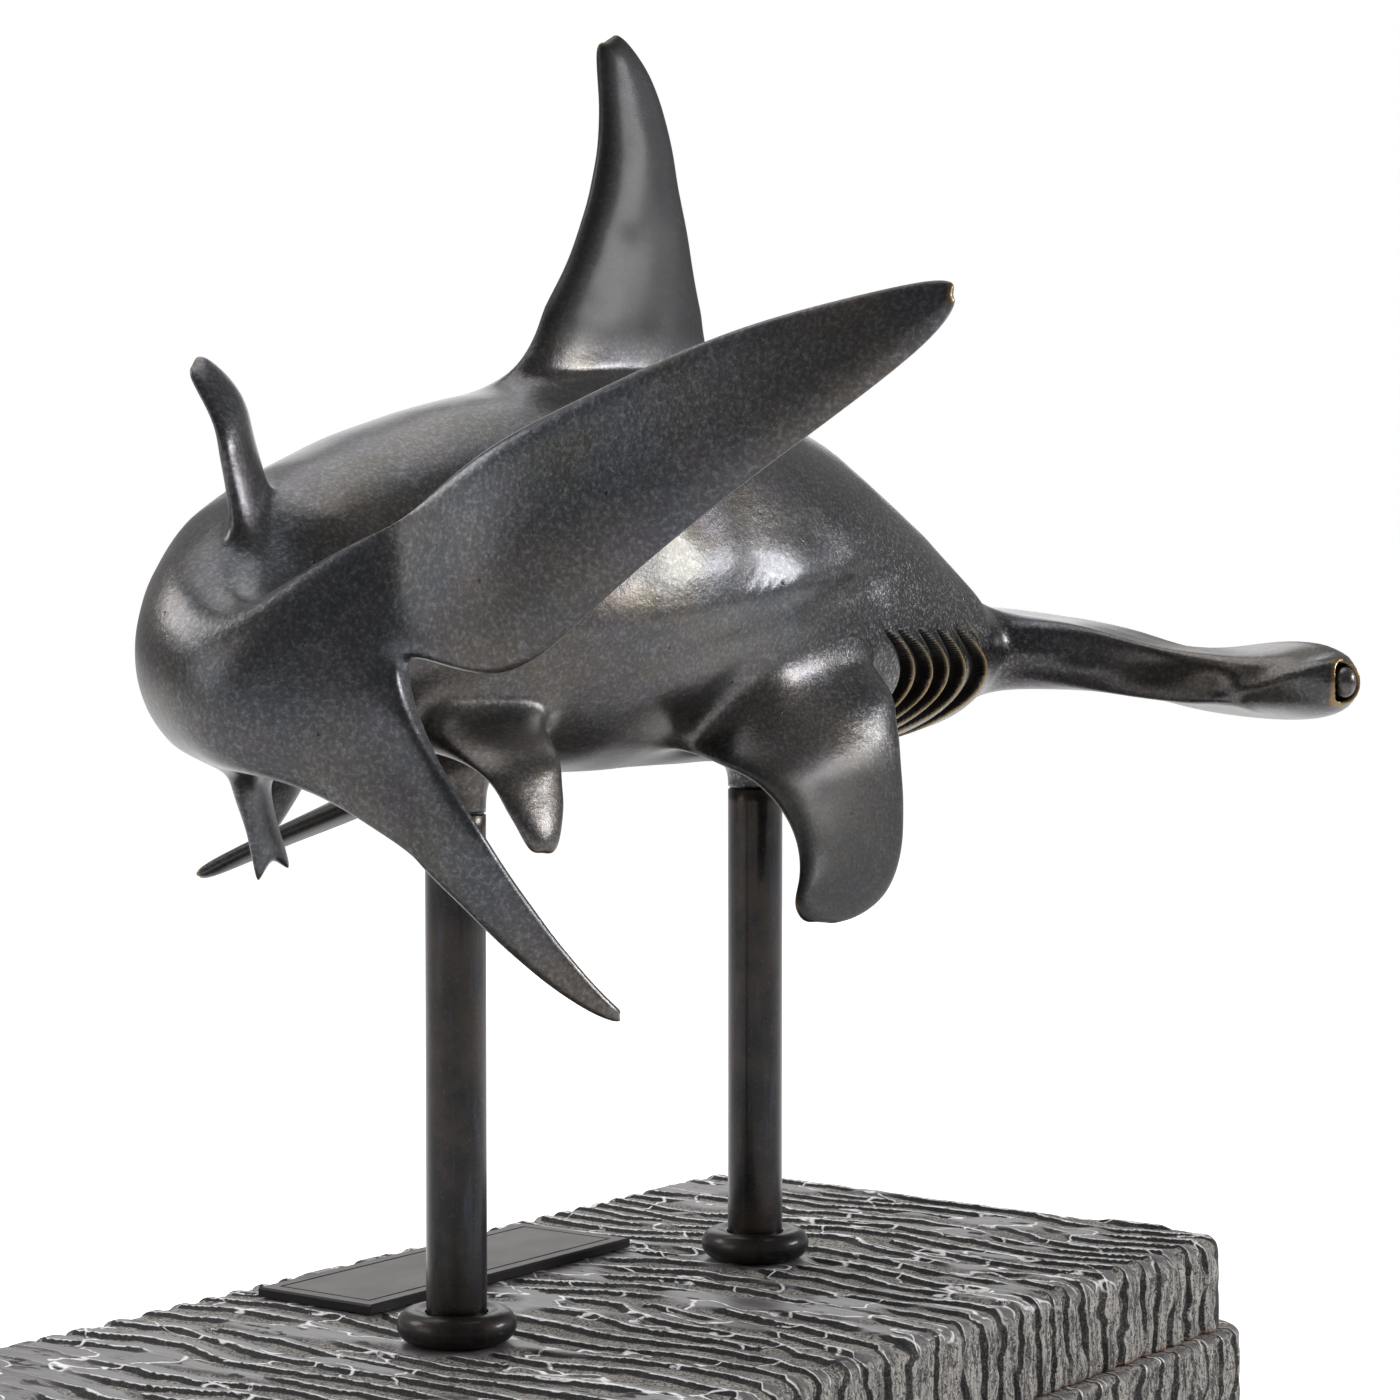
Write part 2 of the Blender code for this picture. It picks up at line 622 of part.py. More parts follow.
def boss_shape():
    """The flared foot under the belly above each post."""
    radius = POST_DIAMETER / 2
    root = BOSS_BOTTOM + BOSS_LENGTH + BOSS_ROOT
    profile = [(0.0, BOSS_BOTTOM), (radius, BOSS_BOTTOM)]
    profile += [(radius + flare * BOSS_FLARE, BOSS_BOTTOM + rise * BOSS_LENGTH)
                for flare, rise in BOSS_PROFILE]
    profile += [(radius + BOSS_FLARE, root), (0.0, root)]
    bm = turned(profile, ROUND_SEGMENTS, (REAR_POST_X, 0.0))
    front = turned(profile, ROUND_SEGMENTS, (FRONT_POST_X, 0.0))
    scratch = bpy.data.meshes.new("front boss")
    front.to_mesh(scratch)
    front.free()
    bm.from_mesh(scratch)
    bpy.data.meshes.remove(scratch)
    return cutter_object("boss_shape", bm)


def build_shark(bronze):
    """The one-piece casting with its two bosses, gill slits and eyes."""
    shark = smooth_casting("shark_casting", shark_cage())
    shark.data.materials.append(bronze)
    sockets, balls = eye_parts()
    add_boolean(shark, boss_shape(), "UNION")
    add_boolean(shark, gill_cutter(), "DIFFERENCE").use_self = True
    add_boolean(shark, sockets, "DIFFERENCE")
    add_boolean(shark, balls, "UNION")
    return shark


def ridge_warp(x, y, half_length):
    """How far a ridge line wanders along the base, dying away at the two ends."""
    fade = np.clip((half_length - np.abs(x)) / (3 * RIDGE_PITCH), 0.0, 1.0)
    wave = sum(share * np.sin(2 * np.pi * (y / across + x / along))
               for across, along, share in RIDGE_WAVES)
    return RIDGE_WANDER * fade * wave


def seat_mask(x, y):
    """One on open carving, zero on the flat seats under the collars and the nameplate."""
    mask = np.ones_like(x)
    reach = COLLAR_DIAMETER / 2 + SEAT_MARGIN
    for post_x in (REAR_POST_X, FRONT_POST_X):
        mask = np.where(np.hypot(x - post_x, y) < reach, 0.0, mask)
    plate = (np.abs(x) < PLATE_LENGTH / 2 + SEAT_MARGIN) & (
        np.abs(y - PLATE_OFFSET) < PLATE_WIDTH / 2 + SEAT_MARGIN)
    return np.where(plate, 0.0, mask)


def slab_lines(half_length, corner, pitch):
    """Ridge line places along the slab, with extra lines round the corners, and their depth."""
    straight = half_length - corner
    count = max(2, round(2 * straight / pitch))
    step = 2 * straight / count
    places = []
    for i in range(count):
        start = -straight + i * step
        places += [(start, 1.0), (start + RIDGE_CREST * step, 0.0)]
    places.append((straight, 1.0))
    arc = [(straight + corner * math.sin(math.radians(angle)), depth) for angle, depth in CORNER_LINES]
    before = [(-place, depth) for place, depth in reversed(arc)]
    lines = np.array(before + places + arc)
    return lines[:, 0], lines[:, 1]


def build_slab(name, length, width, bottom, top, edge_round, pitch, carved, material):
    """A rounded slab whose grooves run over its top and down its sides.

    The top is a grid of ridge lines by rows; each edge point then follows the rounded edge
    and the wall, and is drawn inwards where a groove runs."""
    half_length = length / 2 - edge_round
    half_width = width / 2 - edge_round
    corner = SLAB_CORNER_RADIUS - edge_round
    places, depths = slab_lines(half_length, corner, pitch)
    rows = np.linspace(-1.0, 1.0, RIDGE_ROWS)

    def width_at(x):
        past = np.clip(np.abs(x) - (half_length - corner), 0.0, corner)
        return half_width - corner + np.sqrt(np.maximum(corner ** 2 - past ** 2, 0.0))

    base_x = places[:, None] * np.ones(RIDGE_ROWS)
    y = rows[None, :] * width_at(base_x)
    x = base_x + ridge_warp(base_x, y, half_length)
    y = rows[None, :] * width_at(x)
    z = top - RIDGE_DEPTH * depths[:, None] * seat_mask(x, y) if carved else np.full_like(x, top)

    bm = bmesh.new()
    grid = {}

    def top_vert(i, j):
        if (i, j) not in grid:
            grid[i, j] = bm.verts.new((x[i, j], y[i, j], z[i, j]))
        return grid[i, j]

    last_line, last_row = len(places) - 1, RIDGE_ROWS - 1
    loop = [(i, 0) for i in range(last_line + 1)]
    loop += [(last_line, j) for j in range(1, last_row + 1)]
    loop += [(i, last_row) for i in range(last_line - 1, -1, -1)]
    loop += [(0, j) for j in range(last_row - 1, 0, -1)]
    if carved:
        for i in range(last_line):
            for j in range(last_row):
                bm.faces.new((top_vert(i, j), top_vert(i + 1, j),
                              top_vert(i + 1, j + 1), top_vert(i, j + 1)))
    ring = [top_vert(i, j) for i, j in loop]
    if not carved:
        bm.faces.new(ring)
    wall = [(edge_round * math.sin(math.radians(a)), edge_round * (1 - math.cos(math.radians(a))), 1.0)
            for a in EDGE_ANGLES]
    wall += [(edge_round, (top - bottom) / 2, 1.0), (edge_round, top - bottom, 0.0)]
    for outward, down, groove in wall:
        lower = []
        for i, j in loop:
            px, py = x[i, j], y[i, j]
            cx = max(abs(px) - (half_length - corner), 0.0) * math.copysign(1.0, px)
            cy = max(abs(py) - (half_width - corner), 0.0) * math.copysign(1.0, py)
            reach = math.hypot(cx, cy)
            side = j in (0, last_row)
            depth = depths[i] if side else float(j % 2)
            push = outward - FLUTE_DEPTH * groove * depth
            lower.append(bm.verts.new((px + cx / reach * push, py + cy / reach * push, top - down)))
        for k, vert in enumerate(ring):
            n = (k + 1) % len(ring)
            bm.faces.new((vert, lower[k], lower[n], ring[n]))
        ring = lower
    bm.faces.new(ring[::-1])
    return object_from_bmesh(name, bm, material)


def rounded_outline(half_length, half_width, corner):
    """Points round a rectangle with round corners."""
    points = []
    for quarter, (sx, sy) in enumerate(((1, 1), (-1, 1), (-1, -1), (1, -1))):
        for step in range(CORNER_STEPS + 1):
            angle = math.pi / 2 * (quarter + step / CORNER_STEPS)
            points.append((sx * (half_length - corner) + corner * math.cos(angle),
                           sy * (half_width - corner) + corner * math.sin(angle)))
    return points


def build_felt(material):
    """The thin felt sheet glued under the lower slab."""
    length = BASE_LENGTH + 2 * LOWER_SLAB_LEDGE - 2 * FELT_INSET
    width = BASE_WIDTH + 2 * LOWER_SLAB_LEDGE - 2 * FELT_INSET
    outline = rounded_outline(length / 2, width / 2, SLAB_CORNER_RADIUS - FELT_INSET)
    bm = bmesh.new()
    lower = [bm.verts.new((x, y, 0.0)) for x, y in outline]
    upper = [bm.verts.new((x, y, FELT_TOP)) for x, y in outline]
    bm.faces.new(lower[::-1])
    bm.faces.new(upper)
    for k, vert in enumerate(lower):
        n = (k + 1) % len(lower)
        bm.faces.new((vert, lower[n], upper[n], upper[k]))
    return object_from_bmesh("felt_sheet", bm, material)


def build_nameplate(material):
    """A bare plate with a bevelled rim and a fine border line cut into its face."""
    bottom = STONE_TOP + GAP
    top = bottom + PLATE_THICKNESS
    line_inner = PLATE_BORDER_INSET + PLATE_BORDER_WIDTH
    line_middle = PLATE_BORDER_INSET + PLATE_BORDER_WIDTH / 2
    loops = ((0.0, bottom), (0.0, top - PLATE_BEVEL), (PLATE_BEVEL, top),
             (PLATE_BORDER_INSET, top), (line_middle, top - PLATE_BORDER_DEPTH), (line_inner, top))
    bm = bmesh.new()
    rings = []
    for inset, height in loops:
        half_length = PLATE_LENGTH / 2 - inset
        half_width = PLATE_WIDTH / 2 - inset
        rings.append([bm.verts.new((sx * half_length, PLATE_OFFSET + sy * half_width, height))
                      for sx, sy in ((-1, -1), (1, -1), (1, 1), (-1, 1))])
    bm.faces.new(rings[0][::-1])
    for lower, upper in zip(rings, rings[1:]):
        for k in range(4):
            n = (k + 1) % 4
            bm.faces.new((lower[k], lower[n], upper[n], upper[k]))
    bm.faces.new(rings[-1])
    return object_from_bmesh("nameplate", bm, material)


def build_post(name, x, material):
    """A plain rod with a thinner stud that runs down through both slabs."""
    radius, stud = POST_DIAMETER / 2, STUD_DIAMETER / 2
    profile = ((0.0, STUD_END), (stud - STUD_CHAMFER, STUD_END), (stud, STUD_END + STUD_CHAMFER),
               (stud, POST_FOOT), (radius, POST_FOOT), (radius, POST_TOP), (0.0, POST_TOP))
    return object_from_bmesh(name, turned(profile, ROUND_SEGMENTS, (x, 0.0)), material)


def build_collar(name, x, material):
    """A rounded ring round the foot of a post, slightly dished on top."""
    inner = POST_DIAMETER / 2 + COLLAR_CLEARANCE
    outer = COLLAR_DIAMETER / 2
    foot = STONE_TOP + GAP
    half = COLLAR_HEIGHT / 2
    profile = [(inner, foot)]
    for angle in COLLAR_ANGLES:
        reach = half * math.cos(math.radians(angle))
        profile.append((outer - half + reach, foot + half + half * math.sin(math.radians(angle))))
    profile.append((inner + COLLAR_DISH, foot + COLLAR_HEIGHT - COLLAR_DISH))
    profile.append((inner, foot + COLLAR_HEIGHT - COLLAR_DISH))
    return object_from_bmesh(name, turned(profile, ROUND_SEGMENTS, (x, 0.0)), material)


def build_washer(name, x, material):
    """A flat washer against the roof of the counterbore."""
    inner = STUD_DIAMETER / 2 + STUD_CLEARANCE
    outer = WASHER_DIAMETER / 2
    profile = ((inner, WASHER_BOTTOM), (outer, WASHER_BOTTOM), (outer, WASHER_TOP), (inner, WASHER_TOP))
    return object_from_bmesh(name, turned(profile, ROUND_SEGMENTS, (x, 0.0)), material)


def build_nut(name, x, material):
    """A hexagon nut on the stud, under the washer."""
    corner = NUT_WIDTH / math.sqrt(3)
    profile = ((0.0, NUT_BOTTOM), (corner, NUT_BOTTOM), (corner, NUT_TOP), (0.0, NUT_TOP))
    nut = object_from_bmesh(name, turned(profile, NUT_SIDES, (x, 0.0)), material)
    hole = STUD_DIAMETER / 2 + STUD_CLEARANCE
    low, high = NUT_BOTTOM - CUT_MARGIN, NUT_TOP + CUT_MARGIN
    bore = ((0.0, low), (hole, low), (hole, high), (0.0, high))
    add_boolean(nut, cutter_object(f"{name}_bore", turned(bore, ROUND_SEGMENTS, (x, 0.0))), "DIFFERENCE")
    return nut


def bore_slabs(upper, lower):
    """Cut the stud holes through both slabs and the counterbores in the underside."""
    hole = STUD_DIAMETER / 2 + STUD_CLEARANCE
    wide = COUNTERBORE_DIAMETER / 2
    for label, x in (("rear", REAR_POST_X), ("front", FRONT_POST_X)):
        through = ((0.0, UPPER_BOTTOM - CUT_MARGIN), (hole, UPPER_BOTTOM - CUT_MARGIN),
                   (hole, STONE_TOP + CUT_MARGIN), (0.0, STONE_TOP + CUT_MARGIN))
        stepped = ((0.0, LOWER_BOTTOM - CUT_MARGIN), (wide, LOWER_BOTTOM - CUT_MARGIN),
                   (wide, COUNTERBORE_ROOF), (hole, COUNTERBORE_ROOF),
                   (hole, LOWER_TOP + CUT_MARGIN), (0.0, LOWER_TOP + CUT_MARGIN))
        add_boolean(upper, cutter_object(f"{label}_upper_bore", turned(through, ROUND_SEGMENTS, (x, 0.0))),
                    "DIFFERENCE")
        add_boolean(lower, cutter_object(f"{label}_lower_bore", turned(stepped, ROUND_SEGMENTS, (x, 0.0))),
                    "DIFFERENCE")


def build_base(stone):
    """The two carved slabs."""
    upper = build_slab("upper_slab", BASE_LENGTH, BASE_WIDTH, UPPER_BOTTOM, STONE_TOP,
                       SLAB_EDGE_ROUND, RIDGE_PITCH, True, stone)
    lower = build_slab("lower_slab", BASE_LENGTH + 2 * LOWER_SLAB_LEDGE, BASE_WIDTH + 2 * LOWER_SLAB_LEDGE,
                       LOWER_BOTTOM, LOWER_TOP, LOWER_EDGE_ROUND, LOWER_RIDGE_PITCH, False, stone)
    bore_slabs(upper, lower)


def main():
    """Build every piece."""
    clear_scene()
    bronze = principled("dark bronze", (0.09, 0.085, 0.085), 0.38, 1.0)
    rod = principled("dark rod", (0.05, 0.05, 0.052), 0.35, 1.0)
    steel = principled("zinc steel", (0.55, 0.55, 0.55), 0.4, 1.0)
    stone = principled("carved stone", (0.16, 0.15, 0.15), 0.7, 0.0)
    felt = principled("black felt", (0.02, 0.02, 0.02), 1.0, 0.0)
    plate = principled("plate bronze", (0.17, 0.15, 0.15), 0.5, 1.0)
    build_shark(bronze)
    build_base(stone)
    build_felt(felt)
    build_nameplate(plate)
    for label, x in (("rear", REAR_POST_X), ("front", FRONT_POST_X)):
        build_post(f"{label}_post", x, rod)
        build_collar(f"{label}_collar", x, rod)
        build_washer(f"{label}_washer", x, steel)
        build_nut(f"{label}_nut", x, steel)


main()
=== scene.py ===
"""Looks of a bronze hammerhead shark on two posts over a carved two-tier stone base.

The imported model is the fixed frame. Shapes are worked out in millimetres as numpy arrays and are
scaled to metres when a mesh is made. Heights on the animal are counted from its datum, the level
that the middle of its body lies on.
"""
from __future__ import annotations

import logging
import math
from dataclasses import dataclass
from enum import Enum

import bmesh
import bpy
import numpy as np
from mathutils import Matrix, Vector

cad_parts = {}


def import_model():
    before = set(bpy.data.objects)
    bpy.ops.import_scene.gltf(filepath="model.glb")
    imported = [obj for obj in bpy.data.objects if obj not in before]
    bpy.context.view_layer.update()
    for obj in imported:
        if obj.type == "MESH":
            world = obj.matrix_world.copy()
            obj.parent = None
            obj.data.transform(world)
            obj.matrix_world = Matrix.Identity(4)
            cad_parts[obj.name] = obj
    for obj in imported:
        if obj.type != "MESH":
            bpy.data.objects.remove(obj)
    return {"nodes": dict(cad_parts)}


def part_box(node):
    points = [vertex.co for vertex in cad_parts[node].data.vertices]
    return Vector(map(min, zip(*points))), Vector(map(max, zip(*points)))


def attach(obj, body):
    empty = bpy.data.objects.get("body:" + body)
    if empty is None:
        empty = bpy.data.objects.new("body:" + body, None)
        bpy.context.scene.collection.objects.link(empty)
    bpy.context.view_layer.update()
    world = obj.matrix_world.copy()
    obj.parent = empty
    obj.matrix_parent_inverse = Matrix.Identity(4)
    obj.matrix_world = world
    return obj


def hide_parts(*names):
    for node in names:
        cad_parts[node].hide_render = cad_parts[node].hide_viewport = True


MM = 0.001
BODY = "root"
ENDS = ("rear", "front")
FOOT_GAP = 0.3
PLATE_SINK = 0.3
TURN = 2.0 * math.pi
LOG = logging.getLogger("shark_figurine")

Colour = tuple[float, float, float]
Place = tuple[float, float, float]
Pair = tuple[float, float]


class Slot(Enum):
    """The record's material slots."""

    BRONZE = "dark_bronze"
    ROD = "dark_rod"
    PLATE = "plate_bronze"
    STONE = "carved_stone"
    STEEL = "zinc_steel"
    FELT = "black_felt"


class Wire:
    """A node's output, so that shader maths reads as Python expressions."""

    def __init__(self, graph: Graph, socket: bpy.types.NodeSocket) -> None:
        """Keep the graph that new nodes go to, and the output that this wire starts from."""
        self.graph = graph
        self.socket = socket

    def maths(self, operation: str, *others: Wire | float, first: bool = True) -> Wire:
        """Add a Math node, with this wire as its first operand or as its last."""
        values = (self, *others) if first else (*others, self)
        return self.graph.node("ShaderNodeMath", {"operation": operation}, dict(enumerate(values)))

    def __add__(self, other: Wire | float) -> Wire:
        """The sum."""
        return self.maths("ADD", other)

    __radd__ = __add__

    def __mul__(self, other: Wire | float) -> Wire:
        """The product."""
        return self.maths("MULTIPLY", other)

    __rmul__ = __mul__

    def __sub__(self, other: Wire | float) -> Wire:
        """The difference."""
        return self.maths("SUBTRACT", other)

    def __rsub__(self, other: float) -> Wire:
        """The difference the other way round."""
        return self.maths("SUBTRACT", other, first=False)

    def __truediv__(self, other: Wire | float) -> Wire:
        """The quotient."""
        return self.maths("DIVIDE", other)

    def __rtruediv__(self, other: float) -> Wire:
        """The quotient the other way round."""
        return self.maths("DIVIDE", other, first=False)

    def __abs__(self) -> Wire:
        """The size without its sign."""
        return self.maths("ABSOLUTE")

    def between(self, low: float, high: float) -> Wire:
        """A smooth step.

        Args:
            low: where the step starts, at 0.
            high: where it ends, at 1; below low, the step falls instead.

        Returns:
            0 to 1.
        """
        settings = {"interpolation_type": "SMOOTHSTEP"}
        start, end, first, last = (low, high, 0.0, 1.0) if low < high else (high, low, 1.0, 0.0)
        return self.graph.node("ShaderNodeMapRange", settings,
                               {0: self, 1: start, 2: end, 3: first, 4: last})


class Graph:
    """The nodes of a new material or world."""

    def __init__(self, owner: bpy.types.Material | bpy.types.World) -> None:
        """Start with no nodes.

        Args:
            owner: what the nodes belong to.
        """
        self.owner = owner
        self.owner.use_nodes = True
        self.tree = self.owner.node_tree
        self.tree.nodes.clear()

    @classmethod
    def of_material(cls, name: str) -> Graph:
        """The graph of a new material."""
        return cls(bpy.data.materials.new(name))

    def node(self, kind: str, settings: dict | None = None, inputs: dict | None = None,
             output: int | str = 0) -> Wire:
        """Add any node.

        Args:
            kind: the node's type.
            settings: its properties, set first.
            inputs: values or wires for its sockets, by number or name.
            output: the output wanted.

        Returns:
            A wire from that output.
        """
        made = self.tree.nodes.new(kind)
        for name, value in (settings or {}).items():
            setattr(made, name, value)
        for key, value in (inputs or {}).items():
            if isinstance(value, Wire):
                self.tree.links.new(value.socket, made.inputs[key])
            elif isinstance(value, tuple) and made.inputs[key].type == "RGBA":
                made.inputs[key].default_value = (*value[:3], 1.0)
            else:
                made.inputs[key].default_value = value
        return Wire(self, made.outputs[output])

    def place(self) -> Wire:
        """The point in the object's own coordinates."""
        return self.node("ShaderNodeTexCoord", output="Object")

    def stretched(self, point: Wire, scale: Place) -> Wire:
        """The point with its three axes scaled apart."""
        return self.node("ShaderNodeVectorMath", {"operation": "MULTIPLY"}, {0: point, 1: scale})

    def noise(self, point: Wire, scale: float, detail: float = 3.0, rough: float = 0.5,
              distortion: float = 0.0) -> Wire:
        """Smooth noise from 0 to 1, with scale cells to the metre and detail octaves."""
        return self.node("ShaderNodeTexNoise", {"noise_dimensions": "3D"},
                         {"Vector": point, "Scale": scale, "Detail": detail, "Roughness": rough,
                          "Distortion": distortion}, "Fac")

    def cells(self, point: Wire, scale: float) -> Wire:
        """Distance within Voronoi cells."""
        return self.node("ShaderNodeTexVoronoi", inputs={"Vector": point, "Scale": scale},
                         output="Distance")

    def ray(self, kind: str) -> Wire:
        """Whether the ray is of a kind: Camera, Glossy or Transmission."""
        return self.node("ShaderNodeLightPath", output=f"Is {kind} Ray")

    def attribute(self, name: str, output: str = "Fac") -> Wire:
        """A value kept on the mesh."""
        return self.node("ShaderNodeAttribute", {"attribute_name": name}, output=output)

    def parts(self, vector: Wire) -> tuple[Wire, Wire, Wire]:
        """The three numbers of a vector."""
        split = self.node("ShaderNodeSeparateXYZ", inputs={0: vector})
        return tuple(Wire(self, output) for output in split.socket.node.outputs)

    def blend(self, share: Wire | float, first: Wire | Colour, second: Wire | Colour) -> Wire:
        """Mix two colours: share says how much of the second."""
        return self.node("ShaderNodeMix", {"data_type": "RGBA", "clamp_factor": True},
                         {0: share, 6: first, 7: second}, 2)

    def layered(self, colour: Wire | Colour, *layers: tuple) -> Wire:
        """Lay colours over a first one: each layer is a share and a colour."""
        for share, over in layers:
            colour = self.blend(share, colour, over)
        return colour

    def bump(self, height: Wire, strength: float, distance: float, under: Wire | None = None) -> Wire:
        """Turn a height into a normal.

        Args:
            height: 0 to 1.
            strength: share of the full effect.
            distance: metres that a height of 1 stands for.
            under: a normal that this one is added to.

        Returns:
            The normal.
        """
        inputs = {"Height": height, "Strength": strength, "Distance": distance}
        if under is not None:
            inputs["Normal"] = under
        return self.node("ShaderNodeBump", inputs=inputs)

    def finish(self, **sockets: Wire | float | Colour) -> bpy.types.Material:
        """Close the graph with a Principled shader.

        Args:
            sockets: values by socket name, with underscores for spaces.

        Returns:
            The material.
        """
        inputs = {name.replace("_", " "): value for name, value in sockets.items()}
        shader = self.node("ShaderNodeBsdfPrincipled", inputs=inputs)
        self.send(shader)
        return self.owner

    def send(self, shader: Wire) -> None:
        """Send a shader to the owner's surface."""
        kind = "World" if isinstance(self.owner, bpy.types.World) else "Material"
        out = self.tree.nodes.new(f"ShaderNodeOutput{kind}")
        self.tree.links.new(shader.socket, out.inputs["Surface"])


@dataclass(frozen=True)
class BronzeFinish:
    """Dark patinated bronze with a fine stipple, rubbed edges and dark recesses."""

    cool: Colour = (0.058, 0.061, 0.069)
    warm: Colour = (0.084, 0.074, 0.065)
    violet: Colour = (0.076, 0.068, 0.080)
    olive: Colour = (0.060, 0.060, 0.044)
    pale: Colour = (0.200, 0.198, 0.212)
    dark: Colour = (0.018, 0.018, 0.019)
    # the rubbed colour: worn edges, and also a warm tint painted where the flank highlight falls
    rubbed: Colour = (0.24, 0.165, 0.080)
    recess: Colour = (0.006, 0.005, 0.004)
    pit: Colour = (0.012, 0.011, 0.011)

    def material(self) -> bpy.types.Material:
        """Build the material.

        Returns:
            The bronze, which reads the mesh's worn edges with the painted highlight tint, its recess values
            and the fins' painted shade.
        """
        g = Graph.of_material("patinated bronze")
        point = g.place()
        broad = g.noise(point, 22.0, 3.0, 0.55)
        middle = g.noise(point, 75.0, 4.0, 0.6, 0.4)
        stipple = g.noise(point, 1250.0, 2.0, 0.65)
        along = g.parts(point)[0]
        neck = along.between(0.015, 0.085) * along.between(0.136, 0.116)
        streaks = g.noise(g.stretched(point, (1.0, 2.2, 2.2)), 260.0, 4.0, 0.65)
        patches = g.noise(point, 48.0, 3.0)
        lighter = stipple.between(0.52, 0.66) * (0.30 + 0.60 * neck) + streaks.between(0.48, 0.72) * 0.25
        darker = stipple.between(0.50, 0.38) * (0.25 + 0.65 * neck)
        wear_and_painted_highlight = g.attribute("wear_and_painted_highlight") * (0.45 + 0.75 * streaks)
        dull_and_painted_shade, hollow = g.attribute("dull_and_painted_shade"), g.attribute("recess")
        pits = g.cells(point, 190.0).between(0.10, 0.035) * g.noise(point, 60.0).between(0.52, 0.6)
        colour = g.layered(
            self.cool, (broad.between(0.38, 0.62), self.warm),
            (middle.between(0.50, 0.68) * 0.7, self.violet), (patches.between(0.55, 0.72) * 0.6, self.olive),
            # the neck's dark base is painted shade, laid under its own stipple
            (neck * 0.85, self.dark), (lighter, self.pale), (darker, self.dark),
            # worn edges take the rubbed colour, with a warm tint painted on the flank highlight; the fins then
            # get painted shade
            (wear_and_painted_highlight.between(0.12, 0.85), self.rubbed), (dull_and_painted_shade * 0.8, self.dark),
            (hollow.between(0.05, 0.5), self.recess), (pits * 0.8, self.pit))
        rough = 0.21 + 0.14 * middle + 0.08 * stipple + 0.35 * hollow + 0.24 * dull_and_painted_shade
        grain = g.bump(stipple * (0.5 + neck), 0.30, 0.00025)
        cast = g.bump(streaks, 0.16, 0.0005, grain)
        relief = g.bump(1.0 - pits, 0.35, 0.0004, cast)
        return g.finish(Base_Color=colour, Metallic=0.88, Roughness=rough, Normal=relief,
                        Coat_Weight=0.15 * (1.0 - hollow), Coat_Roughness=0.22)


@dataclass(frozen=True)
class RodFinish:
    """Blackened rod with long rubbed streaks."""

    dark: Colour = (0.011, 0.011, 0.012)
    brown: Colour = (0.034, 0.026, 0.022)
    blue: Colour = (0.034, 0.038, 0.054)
    scratch: Colour = (0.075, 0.070, 0.068)
    edge: Colour = (0.12, 0.10, 0.08)
    rough: float = 0.20

    def material(self) -> bpy.types.Material:
        """Build the material.

        Returns:
            The rod finish.
        """
        g = Graph.of_material("blackened rod")
        point = g.place()
        long_streaks = g.noise(g.stretched(point, (1.0, 1.0, 0.12)), 420.0, 4.0, 0.6)
        cloud = g.noise(point, 60.0, 4.0, 0.6)
        fine = g.noise(point, 1600.0, 2.0, 0.6)
        colour = g.layered(
            self.dark, (cloud.between(0.40, 0.64), self.brown),
            (long_streaks.between(0.5, 0.72) * 0.6, self.blue), (fine.between(0.58, 0.75) * 0.4, self.scratch),
            (g.attribute("wear_and_painted_highlight").between(0.3, 1.0) * 0.6, self.edge))
        rough = self.rough + 0.16 * cloud + 0.08 * fine
        relief = g.bump(fine, 0.12, 0.0002, g.bump(long_streaks, 0.08, 0.0003))
        return g.finish(Base_Color=colour, Metallic=0.85, Roughness=rough, Normal=relief,
                        Coat_Weight=0.30, Coat_Roughness=0.16)


@dataclass(frozen=True)
class PlateFinish:
    """Matte brown-grey plate metal."""

    face: Colour = (0.100, 0.088, 0.086)
    dull_and_painted_shade: Colour = (0.088, 0.077, 0.075)
    scratch: Colour = (0.16, 0.145, 0.14)
    rim: Colour = (0.018, 0.016, 0.016)

    def material(self) -> bpy.types.Material:
        """Build the material.

        Returns:
            The plate finish.
        """
        g = Graph.of_material("matte plate")
        point = g.place()
        cloud = g.noise(point, 90.0, 4.0, 0.6)
        fine = g.noise(g.stretched(point, (0.35, 1.0, 1.0)), 2200.0, 2.0, 0.6)
        upward = g.parts(g.node("ShaderNodeTexCoord", output="Normal"))[2]
        colour = g.layered(self.face, (cloud.between(0.35, 0.68), self.dull_and_painted_shade),
                           (fine.between(0.55, 0.8) * 0.3, self.scratch),
                           (upward.between(0.98, 0.85), self.rim))
        return g.finish(Base_Color=colour, Metallic=0.55, Roughness=0.44 + 0.14 * cloud,
                        Normal=g.bump(fine, 0.12, 0.0002))


